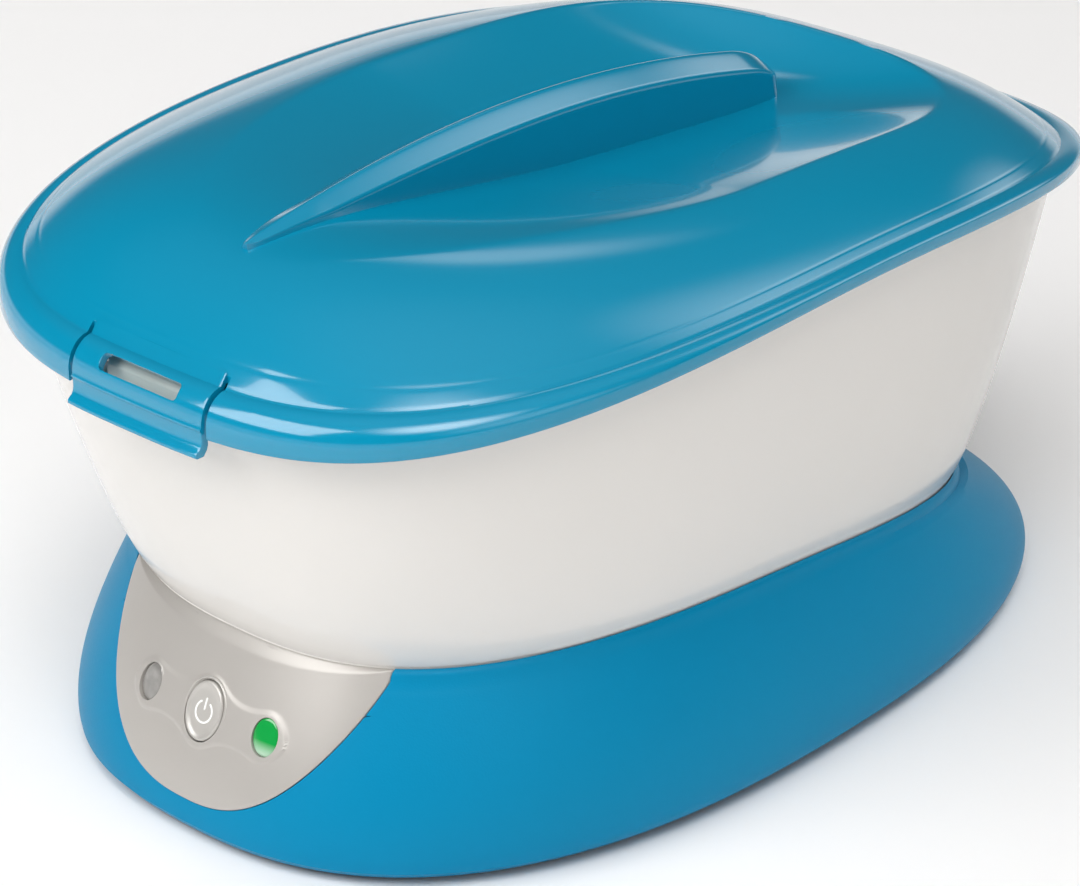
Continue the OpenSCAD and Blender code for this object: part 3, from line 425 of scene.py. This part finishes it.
POST_ANGLES = [14, 64, 116, 166, 194, 244, 296, 346]
TUB_SCREWS = [0, 32, 90, 148, 180, 212, 328]
PLATE_TOP = FOOT_H + 3.5
GLAND_Y, GLAND_Z, GLAND_NECK, GLAND_POCKET = 184.0, 16.5, 5.5, 8.2


def ledge_point(angle, inset):
    x, y = oval(math.radians(angle), SEAM_LEN - inset, SEAM_WID - inset, SEAM_POWER)
    return float(x), float(y)


def base_outer():
    """Outer rings of the base, from the foot to the rolled shoulder under the seam."""
    return ([skirt_ring(2.2), skirt_ring(1.1, 0.25), skirt_ring(0.5, 1.0)]
            + [base_ring(t) for t in np.linspace(0.05, 0.9, 30)]
            + [seam_ring(-1.7, -3.8), seam_ring(-1.45, -2.3), seam_ring(-0.95, -1.2),
               seam_ring(-0.3, -0.5), seam_ring(0.35, -0.2)])


def make_base():
    rings = base_outer() + [
        seam_ring(LIP_PLAY, -0.4),
        seam_ring(LIP_PLAY, -TUB_FOOT - 0.1),
        seam_ring(LEDGE_W, -TUB_FOOT - 0.1),
        seam_ring(LEDGE_W, -TUB_FOOT - LIP_T),
        seam_ring(SHELL + 1, -TUB_FOOT - LIP_T),
        base_ring(0.55, SHELL), base_ring(0.3, SHELL), base_ring(0.1, SHELL),
        skirt_ring(SHELL + 1.2, 1.5),
        skirt_ring(SHELL + 1.2),
    ]
    parts = [loft_tube(rings)]
    for a in POST_ANGLES:
        x, y = ledge_point(a, LEDGE_W / 2)
        top = float(seam_level(y)) - TUB_FOOT - LIP_T / 2
        parts.append(lathe([(4.1, PLATE_TOP + 0.1), (4.5, PLATE_TOP + 0.6), (4.5, top)], (x, y, 0)))
    base = new_object("base_shell", *joined(parts))
    cut(base, *panel_solid(5, -SHELL - 1, 2.5, 0.25))
    cut(base, *panel_window(SEAM_Z - TUB_FOOT - LIP_T - 1))
    turn = Matrix.Translation((0, GLAND_Y, GLAND_Z)) @ Matrix.Rotation(math.radians(-90), 4, "X")
    cut_oval(base, GLAND_POCKET, GLAND_POCKET, turn, 0, 30)
    outside, neck, inner_end, outer_end = GLAND_POCKET + 1.6, GLAND_NECK + 0.05, -9.9, 2.2
    cup = [(outside, inner_end), (outside, outer_end), (GLAND_POCKET, outer_end), (GLAND_POCKET, 0),
           (neck, 0), (neck, inner_end)]
    v, f = loft_tube([oval_ring(r, r, z) for r, z in cup])
    boss = new_object("gland_boss", placed(v, turn), f)
    shade(base)
    finish_piece(boss, "base_blue", "housing")
    finish_piece(base, "base_blue", "housing", "base_housing")


# ---------- control panel ----------

WALL_HALVINGS, WALL_REACH = 34, math.radians(62)
# The panel's rings shrink towards PANEL_MID, in x and z
PANEL_MID = np.array([0, 40.0])
LEDGE_BAND, LEDGE_DROP, WAVE_RISE, WAVE_END = 4.4, 1.0, 0.42, 8.6
POST_X, POST_UP = 38, 11


def wall_y(x, z, out, rise=0.0):
    """y of the base's front wall at x and z, proud by out, found by halving the angle round it."""
    ax = np.abs(x)
    lo, hi = np.zeros_like(ax), np.full_like(ax, WALL_REACH)
    t = np.clip((z - FOOT_H) / (SEAM_Z - 1 - FOOT_H), 0.001, 1.02)
    for _ in range(WALL_HALVINGS):
        mid = (lo + hi) / 2
        a = -math.pi / 2 + mid
        for _ in range(2):
            q_out = out + bulge(np.clip(t, 0, 1))
            px, py = oval(a, SKIRT_LEN + q_out, SKIRT_WID + q_out, SKIRT_POWER)
            qx, qy = oval(a, SEAM_LEN + q_out, SEAM_WID + q_out, SEAM_POWER)
            t = np.clip((z - FOOT_H) / (seam_level(qy) - 0.9 + rise - FOOT_H), 0.001, 1.02)
        f = t ** swell_at(a)
        found = mix(px, qx, f)
        y = mix(py + SKIRT_SHIFT, qy, f)
        lo, hi = np.where(found < ax, mid, lo), np.where(found < ax, hi, mid)
    return y


def seam_top(x, rise=0.0):
    y = -SEAM_LEN * (1 - (np.abs(x) / SEAM_WID) ** SEAM_POWER) ** (1 / SEAM_POWER)
    return seam_level(y) - 0.5 + rise


def shield_outline(grow=0.0, rise=0.0):
    """Outline of the panel seen from the front, anticlockwise from the bottom tip, as x and z."""
    half, knee, foot = PANEL_HALF + grow, SEAM_Z - 3, PANEL_FOOT - grow
    u = np.sin(np.linspace(math.pi / 2, 0, 120))
    x = half * np.maximum(0, 1 - u ** PANEL_SIDE) ** PANEL_ROUND
    z = knee - u * (knee - foot)
    side = np.column_stack([x, z])
    corner_top = float(seam_top(np.array([half]), rise)[0])
    climb = np.column_stack([np.full(6, half), np.linspace(knee, corner_top, 8)[1:-1]])
    tx = np.linspace(half, -half, 120)
    top = np.column_stack([tx, seam_top(tx, rise)])
    left = np.vstack([climb[::-1], side[::-1][:-1]]) * np.array([-1, 1])
    return np.vstack([side, climb, top, left])


def panel_window(ceiling):
    """Straight way through the base's wall behind the panel, up to the ledge."""
    line = shield_outline()
    side = line[(line[:, 0] > 0.5) & (line[:, 1] < ceiling - 0.5)]
    top = np.column_stack([np.linspace(PANEL_HALF - 1, 1 - PANEL_HALF, 12), np.full(12, ceiling)])
    outline = np.vstack([[[0, side[0, 1] - 0.1]], side, top, side[::-1] * (-1, 1)])
    back, front = -140, -230
    rings = [np.column_stack([outline[:, 0], np.full(len(outline), y), outline[:, 1]])
             for y in (back, front)]
    return loft_solid(rings, (0, back, PANEL_MID[1]), (0, front, PANEL_MID[1]))


def panel_solid(outer, inner, rise, grow):
    """The panel's outline as a slab of the base's wall, for cutting its seat."""
    line = shield_outline(grow, rise)

    def layer(r, out):
        p = PANEL_MID + (line - PANEL_MID) * r
        return np.column_stack([p[:, 0], wall_y(p[:, 0], p[:, 1], out, rise), p[:, 1]])

    steps = [0.02, 0.25, 0.5, 0.75, 0.9, 1.0]
    rings = [layer(r, inner) for r in steps] + [layer(r, outer) for r in steps[::-1]]
    return loft_solid(rings, rings[0].mean(0), rings[-1].mean(0))


def wave_height(x, up):
    """The low raised band that links the two lenses and the button."""
    ax = np.abs(x)
    half = 6.6 + 5.6 * np.exp(-(ax / 8.5) ** 2) + 1.8 * np.exp(-((ax - LENS_X) / 6) ** 2)
    end = np.clip((ax - LENS_X) / WAVE_END, 0, 1)
    half = half * np.sqrt(1 - end ** 2)
    edge = np.clip((half - np.abs(up)) / 1.8 + 0.5, 0, 1)
    edge = edge * edge * (3 - 2 * edge)
    return WAVE_RISE * edge * (ax < LENS_X + WAVE_END)


def lens_frame(side):
    return panel_frame(side * LENS_X, LENS_Y, side * LENS_YAW)


def make_panel():
    line = shield_outline()
    reach = np.linalg.norm(line - PANEL_MID, axis=1)

    def layer(r, out, ledge=True, grow=0.0):
        p = PANEL_MID + (line - PANEL_MID) * (r + grow / reach)[:, None]
        x, z = p[:, 0], p[:, 1]
        depth = seam_top(x) - z
        band = LEDGE_BAND * np.clip(1 - (x / (PANEL_HALF - 1.5)) ** 2, 0, 1) ** 0.75
        inside = np.clip((band - depth) / np.maximum(band, 0.5), 0, 1)
        up = (z - BUTTON_Z) / math.cos(math.radians(PANEL_LEAN))
        proud = out + (wave_height(x, up) - LEDGE_DROP * inside ** 1.3 if ledge else 0)
        return np.column_stack([x, wall_y(x, z, proud), z])

    fractions = np.concatenate([[0.03], np.linspace(0.06, 0.97, 66)])
    front = [layer(np.full(len(line), r), 0.6) for r in fractions]
    front += [layer(np.ones(len(line)), 0.58, grow=g) for g in (-1.0, -0.5)]
    front += [layer(np.ones(len(line)), o, grow=g) for g, o in ((-0.22, 0.5), (-0.06, 0.3), (0, 0.0))]
    back = [layer(np.ones(len(line)), -1.4, False), layer(np.full(len(line), 0.97), -SHELL, False)]
    back += [layer(np.full(len(line), r), -SHELL, False) for r in (0.7, 0.4, 0.1)]
    rings = front + back
    verts, faces = loft_solid(rings, rings[0].mean(0), rings[-1].mean(0))
    panel = new_object("panel_plate", verts, faces)
    cut_oval(panel, BUTTON_W + 0.35, BUTTON_H + 0.35, panel_frame())
    for side in (-1, 1):
        cut_oval(panel, LENS_W + 0.15, LENS_H + 0.15, lens_frame(side))
    posts = [lathe([(3, -17), (3, -4.5)], (sx * POST_X, sy * POST_UP, 0))
             for sx in (-1, 1) for sy in (-1, 1)]
    verts, faces = joined(posts)
    stand = new_object("panel_posts", placed(verts, panel_frame()), faces)
    shade(panel, 28)
    finish_piece(panel, "panel_silver", "housing", "control_panel")
    finish_piece(stand, "panel_silver", "housing")


def rim_bead(w, h, height, wide, name, matrix):
    """A small rounded bead around an oval opening."""
    v, f = loft_tube([oval_ring(w + wide * math.cos(a), h + wide * math.cos(a), height * math.sin(a))
                      for a in angles(12)])
    bead = new_object(name, placed(v, matrix), f)
    finish_piece(bead, "button_silver", "housing")


def make_button():
    steps = [(1.4, -5.0), (1.4, -3.6), (0, -3.6), (0, 0.45), (-0.1, 0.75), (-0.35, 0.98), (-0.7, 1.08),
             (-1.05, 1.05), (-1.4, 0.9), (-1.9, 0.7), (-2.6, 0.6), (-4, 0.57)]
    rings = [oval_ring(BUTTON_W + d, BUTTON_H + d, z) for d, z in steps]
    rings.append(oval_ring(1.5, 2.5, 0.56))
    stem = lathe([(3, -10), (3, -4.9)])
    v, f = joined([loft_solid(rings, (0, 0, -5), (0, 0, 0.56)), stem])
    button = new_object("button_cap", placed(v, panel_frame()), f)
    finish_piece(button, "button_silver", "button", "power_button")
    mark = new_object("power_mark", *power_mark())
    finish_piece(mark, "mark_white", "button")


def strip(points, half, low, high):
    """A flat strip of even width along points in a local plane, with a closed outline."""
    p = np.array(points, float)
    d = np.gradient(p, axis=0)
    d /= np.linalg.norm(d, axis=1)[:, None]
    n = np.column_stack([-d[:, 1], d[:, 0]]) * half
    cap = np.linspace(-math.pi / 2, math.pi / 2, 9)[1:-1]

    def tip(at, way, side):
        return [at + way * half * math.cos(c) + side * math.sin(c) for c in cap]

    line = list(p + n)[::-1] + tip(p[0], -d[0], n[0])[::-1] + list(p - n) + tip(p[-1], d[-1], n[-1])
    line = np.array(line)
    count = len(line)
    verts = np.vstack([np.column_stack([line, np.full(count, low)]),
                       np.column_stack([line, np.full(count, high)])])
    faces = [list(range(count)), list(range(2 * count - 1, count - 1, -1))]
    faces += [[i, count + i, count + (i + 1) % count, (i + 1) % count] for i in range(count)]
    return verts, faces


def power_mark():
    """The generic standby mark: an open circle with an upright bar."""
    radius, half, low, high = 3.7, 0.34, 0.5, 0.72
    a = np.radians(np.linspace(90 + 34, 90 + 326, 49))
    arc = np.column_stack([radius * np.cos(a), -0.3 + radius * np.sin(a)])
    bar = np.column_stack([np.zeros(5), np.linspace(0.6, 4.3, 5)])
    v, f = joined([strip(line, half, low, high) for line in (arc, bar)])
    return placed(v, panel_frame()), f


def make_lens(name, side, look, node):
    steps = [(1.2, -5.6), (1.2, -4.2), (0, -4.2), (0, -0.1), (-0.15, 0.08), (-0.5, 0.2), (-1.2, 0.3),
             (-2.4, 0.38), (-3.8, 0.42)]
    rings = [oval_ring(LENS_W + d, LENS_H + d, z) for d, z in steps]
    v, f = loft_solid(rings, (0, 0, -5.6), (0, 0, 0.43))
    lens = new_object(name, placed(v, lens_frame(side)), f)
    finish_piece(lens, look, "housing", node)
    rim_bead(LENS_W + 0.62, LENS_H + 0.62, 0.5, 0.42, name + "_bezel", lens_frame(side))


# ---------- tub, gasket, pan ----------

CATCH_HALF = 22


def make_tub():
    rings = [seam_ring(TUB_PLAY, -TUB_FOOT), seam_ring(TUB_PLAY, 0)]
    rings += [tub_ring(t) for t in np.linspace(0.03, 0.97, 26)]
    rings += [tub_top_ring(0, -1), tub_top_ring(0.3, -0.3), tub_top_ring(1), tub_top_ring(TUB_LIP),
              tub_top_ring(TUB_LIP, -2.2), tub_top_ring(SHELL + 0.4, -3)]
    rings += [tub_ring(t, SHELL) for t in (0.82, 0.6, 0.36, 0.12)]
    rings += [seam_ring(TUB_PLAY + SHELL, -TUB_FOOT + LIP_T), seam_ring(LEDGE_W, -TUB_FOOT + LIP_T),
              seam_ring(LEDGE_W, -TUB_FOOT)]
    parts = [loft_tube(rings)]
    for a in TUB_SCREWS:
        x, y = ledge_point(a, LEDGE_W / 2 + 1)
        z = float(seam_level(y)) - TUB_FOOT + 1.2
        parts.append(lathe([(4, z), (4, z + 10.6), (3.6, z + 11)], (x, y, 0)))
    tub = new_object("tub_shell", *joined(parts))
    finish_piece(tub, "tub_white", "housing", "outer_tub")
    y, z = -TUB_LEN, LID_Z + TUB_RIM_UP - RIM_DROP + 1.2
    outline = np.array([(y + 0.3, z - 3), (y - 0.4, z + 2), (y - 0.4, z + 5), (y + 1.8, z + 7.5),
                        (y + 2.6, z + 7.5), (y + 2.6, z - 2)])
    verts = np.vstack([np.column_stack([np.full(6, x), outline]) for x in (-CATCH_HALF, CATCH_HALF)])
    faces = [list(range(6))[::-1], list(range(6, 12))]
    faces += [[i, (i + 1) % 6, 6 + (i + 1) % 6, 6 + i] for i in range(6)]
    tongue = new_object("catch_tongue", verts, faces, smooth=False)
    soften(tongue, 0.35)
    # Its green-grey tint is painted light, standing in for light coming through the translucent blue lid
    finish_piece(tongue, "catch_pale", "housing")


def soften(obj, width, angle=30):
    """Rounds the edges that are sharper than the angle."""
    mod = obj.modifiers.new("rounded", "BEVEL")
    mod.width, mod.segments = width * MM, 3
    mod.limit_method, mod.angle_limit = "ANGLE", math.radians(angle)
    mod.harden_normals = False
    obj.data.polygons.foreach_set("use_smooth", [True] * len(obj.data.polygons))


def pan_rim_ring(inset=0.0, dz=0.0):
    return tub_top_ring(inset, GASKET_T + 0.05 + dz)


def pan_floor_ring(inset, z):
    return ring(PAN_LEN - inset, PAN_WID - inset, SEAM_POWER, z)


def pan_ring(t, thick=0.0):
    return mix(pan_floor_ring(-thick, PAN_Z), pan_rim_ring(TUB_LIP + 6 - thick, 0), t)


def make_pan():
    rings = [pan_floor_ring(9, PAN_Z - PAN_WALL), pan_floor_ring(3, PAN_Z - PAN_WALL + 0.5),
             pan_floor_ring(0, PAN_Z + 2 - PAN_WALL)]
    rings += [pan_ring(t, PAN_WALL) for t in (0.06, 0.25, 0.5, 0.75)]
    rings += [pan_rim_ring(TUB_LIP + 3.6, -2.5), pan_rim_ring(TUB_LIP + 1.2, -0.4),
              pan_rim_ring(TUB_LIP - 0.5, 0), pan_rim_ring(3.2, 0), pan_rim_ring(3.0, PAN_WALL / 2),
              pan_rim_ring(3.2, PAN_WALL), pan_rim_ring(TUB_LIP, PAN_WALL),
              pan_rim_ring(TUB_LIP + 1.8, PAN_WALL - 0.15), pan_rim_ring(TUB_LIP + 3.4, PAN_WALL - 0.8),
              pan_rim_ring(TUB_LIP + 4.6, PAN_WALL - 2.0), pan_rim_ring(TUB_LIP + 5.4, -2.2)]
    rings += [pan_ring(t) for t in (0.9, 0.75, 0.6, 0.45, 0.3, 0.15, 0.08)]
    rings += [pan_floor_ring(0.9, PAN_Z + 3.2), pan_floor_ring(3, PAN_Z + 1.6),
              pan_floor_ring(6, PAN_Z + 0.5), pan_floor_ring(10, PAN_Z), pan_floor_ring(40, PAN_Z)]
    pan = new_object("pan_shell", *loft_solid(rings, (0, 0, PAN_Z - PAN_WALL), (0, 0, PAN_Z)))
    finish_piece(pan, "pan_metal", "housing", "wax_pan")
    seal = [tub_top_ring(4, 0.05), tub_top_ring(3.9, 0.4), tub_top_ring(4.1, GASKET_T),
            tub_top_ring(7.4, GASKET_T), tub_top_ring(7.6, 0.4), tub_top_ring(7.5, 0.05)]
    gasket = new_object("pan_seal", *loft_tube(seal))
    finish_piece(gasket, "gasket", "housing", "rim_gasket")


# ---------- lid ----------

LID_SIDES = 480
# Fine grooves round the dome: each one's place and width as shares of the lid, and its depth
GROOVES = [(0.957, 0.0035, 0.3), (0.926, 0.003, 0.1)]
NOTCH_Y, NOTCH_HALF = -187.35, 32.0
TAB_ROOT, TAB_HALF = -187.4, 30
SLOT_AT, SLOT_LEAN = (0, -196.5, 172.5), 45


def lid_oval(s, inset=0.0):
    return oval(angles(LID_SIDES), LID_LEN * s - inset, LID_WID * s - inset, RIM_POWER)


def lid_ring(s, drop=0.0):
    x, y = lid_oval(s)
    groove = sum(depth * math.exp(-((s - at) / wide) ** 2) for at, wide, depth in GROOVES)
    return np.column_stack([x, y, lid_level(x, y) - drop - (groove if drop == 0 else 0)])


def edge_ring(degrees, inset):
    """Ring on the lid's rolled edge, from the rim at 0 degrees to the shoulder at 90."""
    a = math.radians(degrees)
    x, y = lid_oval(mix(1, SHOULDER, 1 - math.cos(a)), inset)
    _, by = lid_oval(1)
    qx, qy = lid_oval(SHOULDER)
    low, high = lid_edge_level(by) + 4, lid_level(qx, qy) - (0.4 if inset == 0 else 0)
    return np.column_stack([x, y, mix(low, high, math.sin(a)) - inset * math.sin(a)])


def lid_rim_ring(inset, dz):
    return ring(LID_LEN - inset, LID_WID - inset, RIM_POWER, LID_Z + dz, RIM_DROP, 0, LID_LEN, LID_SIDES)


def rounding(over, reach, least=0.0):
    """Height of a quarter ellipse, as a share: 1 where over is 0 or less, the root of least at reach."""
    return np.sqrt(np.maximum(least, 1 - (np.maximum(0, over) / reach) ** 2))


def fin_crest(y):
    nose = FIN_NOSE_DROP * (1 - rounding(y - (FIN_REAR - FIN_NOSE), FIN_NOSE))
    return LID_Z + FIN_RISE - FIN_CURVE * (y - FIN_PEAK) ** 2 - nose


def fin_width(y):
    front = rounding(FIN_WIDEST - y, FIN_WIDEST - FIN_FRONT, 0.004)
    rear = rounding(y - (FIN_REAR - FIN_REAR_ROUND), FIN_REAR_ROUND, 0.004)
    return FIN_HALF * np.minimum(front, rear)


def fin_profile(w, crown):
    """Half of the fin's ridged top, from its crisp edge to the crest, as x and drop from the crest."""
    x = np.concatenate([np.linspace(0.95, 0.3, 8), np.linspace(0.2, 0, 5)]) * w
    drop = 0.74 * crown * (np.sqrt((x / w) ** 2 + 0.012) - 0.11) / 0.95
    edge = [(1.0 * w, crown), (0.998 * w, 0.9 * crown), (0.99 * w, 0.83 * crown), (0.975 * w, 0.78 * crown)]
    return edge + list(zip(x, drop))


def fin_mesh():
    rings = []
    for y in mix(FIN_FRONT, FIN_REAR, np.sin(np.linspace(0.0, math.pi / 2, 130))):
        w, top = float(fin_width(y)), float(fin_crest(y))
        foot = float(lid_level(np.array(w + 0.8), np.array(y)))
        crown = min(FIN_CROWN * w, max(0.6, top - foot - 1))
        low = min(foot, top - crown - 0.4)
        wall = [(w + 0.9, low - 1.2), (w + 0.8, low - 0.2)]
        right = wall + [(x, top - drop) for x, drop in fin_profile(w, crown)]
        line = right + [(-x, z) for x, z in right[-2::-1]]
        rings.append(np.array([(x, y, z) for x, z in line]))
    verts, faces = loft_solid(rings, rings[0].mean(0), rings[-1].mean(0))
    return verts, [f[::-1] for f in faces]


def make_lid():
    fine = np.concatenate([np.arange(0.965, 0.9, -0.0022), np.arange(0.9, 0.03, -0.0085)])
    fine = fine[fine <= SHOULDER]
    rings = [lid_ring(s, LID_WALL) for s in np.linspace(0.06, 0.94, 40)]
    rings += [edge_ring(a, LID_WALL) for a in (80, 65, 50, 35, 18)]
    rings += [lid_rim_ring(LID_WALL, 4), lid_rim_ring(LID_WALL, 0.6), lid_rim_ring(LID_WALL - 0.2, 0.2),
              lid_rim_ring(LID_WALL - 0.6, 0), lid_rim_ring(0.6, 0), lid_rim_ring(0.2, 0.2),
              lid_rim_ring(0, 0.6), lid_rim_ring(0, 2.2)]
    rings += [edge_ring(a, 0) for a in (0, 6, 12, 20, 28, 36, 44, 52, 60, 68, 76, 83, 88)]
    rings += [lid_ring(s) for s in fine]
    low = (0, 0, float(lid_level(np.array(0.0), np.array(0.0))) - LID_WALL)
    high = (0, 0, float(lid_level(np.array(0.0), np.array(0.0))))
    shell = new_object("lid_shell", *loft_solid(rings, low, high))
    cut(shell, *box_solid((-NOTCH_HALF, -230, 100), (NOTCH_HALF, NOTCH_Y, 260)))
    shade(shell, 38)
    finish_piece(shell, "lid_blue", "lid", "lid")
    fin = new_object("lid_fin", *fin_mesh(), sharp=50)
    finish_piece(fin, "lid_blue", "lid")


def tab_arc(degrees, inset):
    a = math.radians(degrees)
    y0, y1 = -LID_LEN, -LID_LEN * SHOULDER
    low = lid_edge_level(y0) + 4
    high = float(dome_level(np.array(0.0), np.array(y1)))
    return (mix(y0, y1, 1 - math.cos(a)) + inset * math.cos(a),
            mix(low, high, math.sin(a)) - inset * math.sin(a) * 1.1)


def make_tab():
    y0, z0 = -LID_LEN, LID_Z - RIM_DROP
    level = float(dome_level(np.array(0.0), np.array(TAB_ROOT)))
    line = [(TAB_ROOT, level)] + [tab_arc(a, 0) for a in range(90, 0, -6)]
    line += [(y0, z0 + 4), (y0 - 0.35, z0 + 3.6), (y0 - 0.5, z0 + 3.1), (y0 - 0.35, z0 + 2.6),
             (y0 - 0.05, z0 + 2.3), (y0, z0 - 0.6), (y0 - 0.25, z0 - 2.0), (y0 - 0.9, z0 - 3.2),
             (y0 - 1.9, z0 - 3.9), (y0 - 2.5, z0 - 4.4), (y0 - 2.75, z0 - 5.1), (y0 - 2.55, z0 - 5.8),
             (y0 - 2.1, z0 - 6.0), (y0 + 0.6, z0 - 6.0), (y0 + 1.1, z0 - 5.4), (y0 + 2.2, z0 - 4.0),
             (y0 + LID_WALL, z0 - 2.6), (y0 + LID_WALL, z0 + 2)]
    line += [tab_arc(a, LID_WALL) for a in range(0, 91, 9)]
    line += [(TAB_ROOT, level - LID_WALL * 1.15)]
    line = np.array(line)
    rings = []
    for x in np.linspace(-TAB_HALF, TAB_HALF, 61):
        bow = LID_LEN * (1 - (1 - abs(x / LID_WID) ** RIM_POWER) ** (1 / RIM_POWER))
        share = np.clip((TAB_ROOT - line[:, 0]) / 4, 0, 1)
        rings.append(np.column_stack([np.full(len(line), x), line[:, 0] + bow * share, line[:, 1]]))
    n, m = len(line), len(rings)
    verts = np.vstack(rings)
    faces = [[j * n + i, (j + 1) * n + i, (j + 1) * n + (i + 1) % n, j * n + (i + 1) % n]
             for j in range(m - 1) for i in range(n)]
    faces += [list(range(n)), [(m - 1) * n + i for i in range(n)][::-1]]
    tab = new_object("latch_plate", verts, faces, smooth=False)
    corner = np.radians(np.arange(0, 90.1, 15))
    right = np.column_stack([16.4 + 1.6 * np.cos(corner), 1.4 + 1.6 * np.sin(corner)])
    hole = np.vstack([right, right[::-1] * (-1, 1), right * (-1, -1), right[::-1] * (1, -1)])
    rings = [np.column_stack([hole, np.full(len(hole), z)]) for z in (-8, 12)]
    v, f = loft_solid(rings, (0, 0, -8), (0, 0, 12))
    lean = Matrix.Translation(SLOT_AT) @ Matrix.Rotation(math.radians(SLOT_LEAN), 4, "X")
    cut(tab, placed(v, lean), f)
    soften(tab, 0.4, 40)
    finish_piece(tab, "lid_blue", "latch", "latch_tab")


make_base()
make_panel()
make_button()
make_lens("heating_window", -1, "lens_clear", "heating_lens")
make_lens("ready_window", 1, "lens_green", "ready_lens")
rim_bead(BUTTON_W + 1.15, BUTTON_H + 1.15, 0.62, 0.5, "button_bezel", panel_frame())
make_tub()
make_pan()
make_lid()
make_tab()

# ---------- camera ----------

CAMERA_AWAY, LENS_LENGTH, SENSOR = 1.32622, 123.36, 36
azimuth, elevation, roll = math.radians(42.432), math.radians(26.514), math.radians(-0.255)
back = Vector((math.sin(azimuth) * math.cos(elevation), -math.cos(azimuth) * math.cos(elevation),
               math.sin(elevation)))
level_right = Vector((math.cos(azimuth), math.sin(azimuth), 0))
level_up = level_right.cross(-back)
right = level_right * math.cos(roll) + level_up * math.sin(roll)
up = level_up * math.cos(roll) - level_right * math.sin(roll)
target = Vector((0, 0, 0.093)) - 0.00741 * right - 0.01483 * up
cam_data = bpy.data.cameras.new("camera")
cam_data.sensor_width = SENSOR
cam_data.lens = LENS_LENGTH
cam_data.clip_end = 50
camera = bpy.data.objects.new("camera", cam_data)
bpy.context.scene.collection.objects.link(camera)
turned = Matrix((right, up, back)).transposed().to_4x4()
camera.matrix_world = Matrix.Translation(target + back * CAMERA_AWAY) @ turned
bpy.context.scene.camera = camera

# ---------- floor and light ----------

floor = new_object("floor", *box_solid((-6000, -6000, -20), (6000, 6000, 0)), smooth=False)
floor.data.materials.append(material("floor_pale", srgb(250, 250, 250), srgb(252, 252, 252), (0.8, 0.9), 2,
                                     400, 0.02))

key_at, key_aim = Vector((-0.55, -1.55, 1.3)), Vector((0, 0, 0.1))
key_data = bpy.data.lights.new("key", "AREA")
key_data.shape = "RECTANGLE"
key_data.size, key_data.size_y = 1.1, 1.1
key_data.energy = 20
key = bpy.data.objects.new("key", key_data)
bpy.context.scene.collection.objects.link(key)
key.location = key_at
key.rotation_euler = (key_aim - key_at).to_track_quat("-Z", "Y").to_euler()

world = bpy.data.worlds.new("studio")
bpy.context.scene.world = world
world.use_nodes = True
tree = world.node_tree
sky = tree.nodes["Background"]
sky.inputs["Color"].default_value = (1.0, 0.985, 0.975, 1)
way = tree.nodes.new("ShaderNodeTexCoord")
parts = tree.nodes.new("ShaderNodeSeparateXYZ")
ramp = tree.nodes.new("ShaderNodeValToRGB")
# Brightness of the studio by height, from the horizon at 0 to straight up at 1
SKY_STOPS = [(0.0, 1.0), (0.06, 0.7), (0.13, 0.05), (0.55, 0.04), (0.8, 0.15), (1.0, 0.4)]
while len(ramp.color_ramp.elements) < len(SKY_STOPS):
    ramp.color_ramp.elements.new(0.5)
for element, (place, value) in zip(ramp.color_ramp.elements, SKY_STOPS):
    element.position = place
    element.color = (value, value, value, 1)
tree.links.new(way.outputs["Generated"], parts.inputs["Vector"])
tree.links.new(parts.outputs["Z"], ramp.inputs["Fac"])


def glow(light, bearing, height, wide, tall, value):
    """Adds a soft-edged oval of light to the sky; bearing is clockwise from +Y, in degrees."""
    turn = Matrix.Rotation(math.radians(-bearing), 4, "Z") @ Matrix.Rotation(math.radians(height), 4, "X")
    place = tree.nodes.new("ShaderNodeMapping")
    place.vector_type = "TEXTURE"
    place.inputs["Location"].default_value = turn @ Vector((0, 1, 0))
    place.inputs["Rotation"].default_value = turn.to_euler()
    place.inputs["Scale"].default_value = (wide, 1, tall)
    reach = tree.nodes.new("ShaderNodeVectorMath")
    reach.operation = "LENGTH"
    fade = tree.nodes.new("ShaderNodeMapRange")
    fade.interpolation_type = "SMOOTHSTEP"
    fade.inputs["From Min"].default_value, fade.inputs["From Max"].default_value = 1.0, 0.25
    fade.inputs["To Min"].default_value, fade.inputs["To Max"].default_value = 0.0, value
    total = tree.nodes.new("ShaderNodeMath")
    tree.links.new(way.outputs["Generated"], place.inputs["Vector"])
    tree.links.new(place.outputs["Vector"], reach.inputs[0])
    tree.links.new(reach.outputs["Value"], fade.inputs["Value"])
    tree.links.new(light, total.inputs[0])
    tree.links.new(fade.outputs["Result"], total.inputs[1])
    return total.outputs["Value"]


# Each glow's bearing, height, half width, half height and brightness
GLOWS = [(-40, 37.5, 0.2, 0.075, 1.3), (9, 41, 0.32, 0.45, 2.3), (-4, 25, 0.24, 0.17, 1.7),
         (105, 28, 0.6, 0.4, 1.25), (140, 58, 0.42, 0.42, 6.8)]
light = ramp.outputs["Color"]
for row in GLOWS:
    light = glow(light, *row)
tree.links.new(light, sky.inputs["Strength"])

bpy.context.scene.view_settings.view_transform = "Standard"
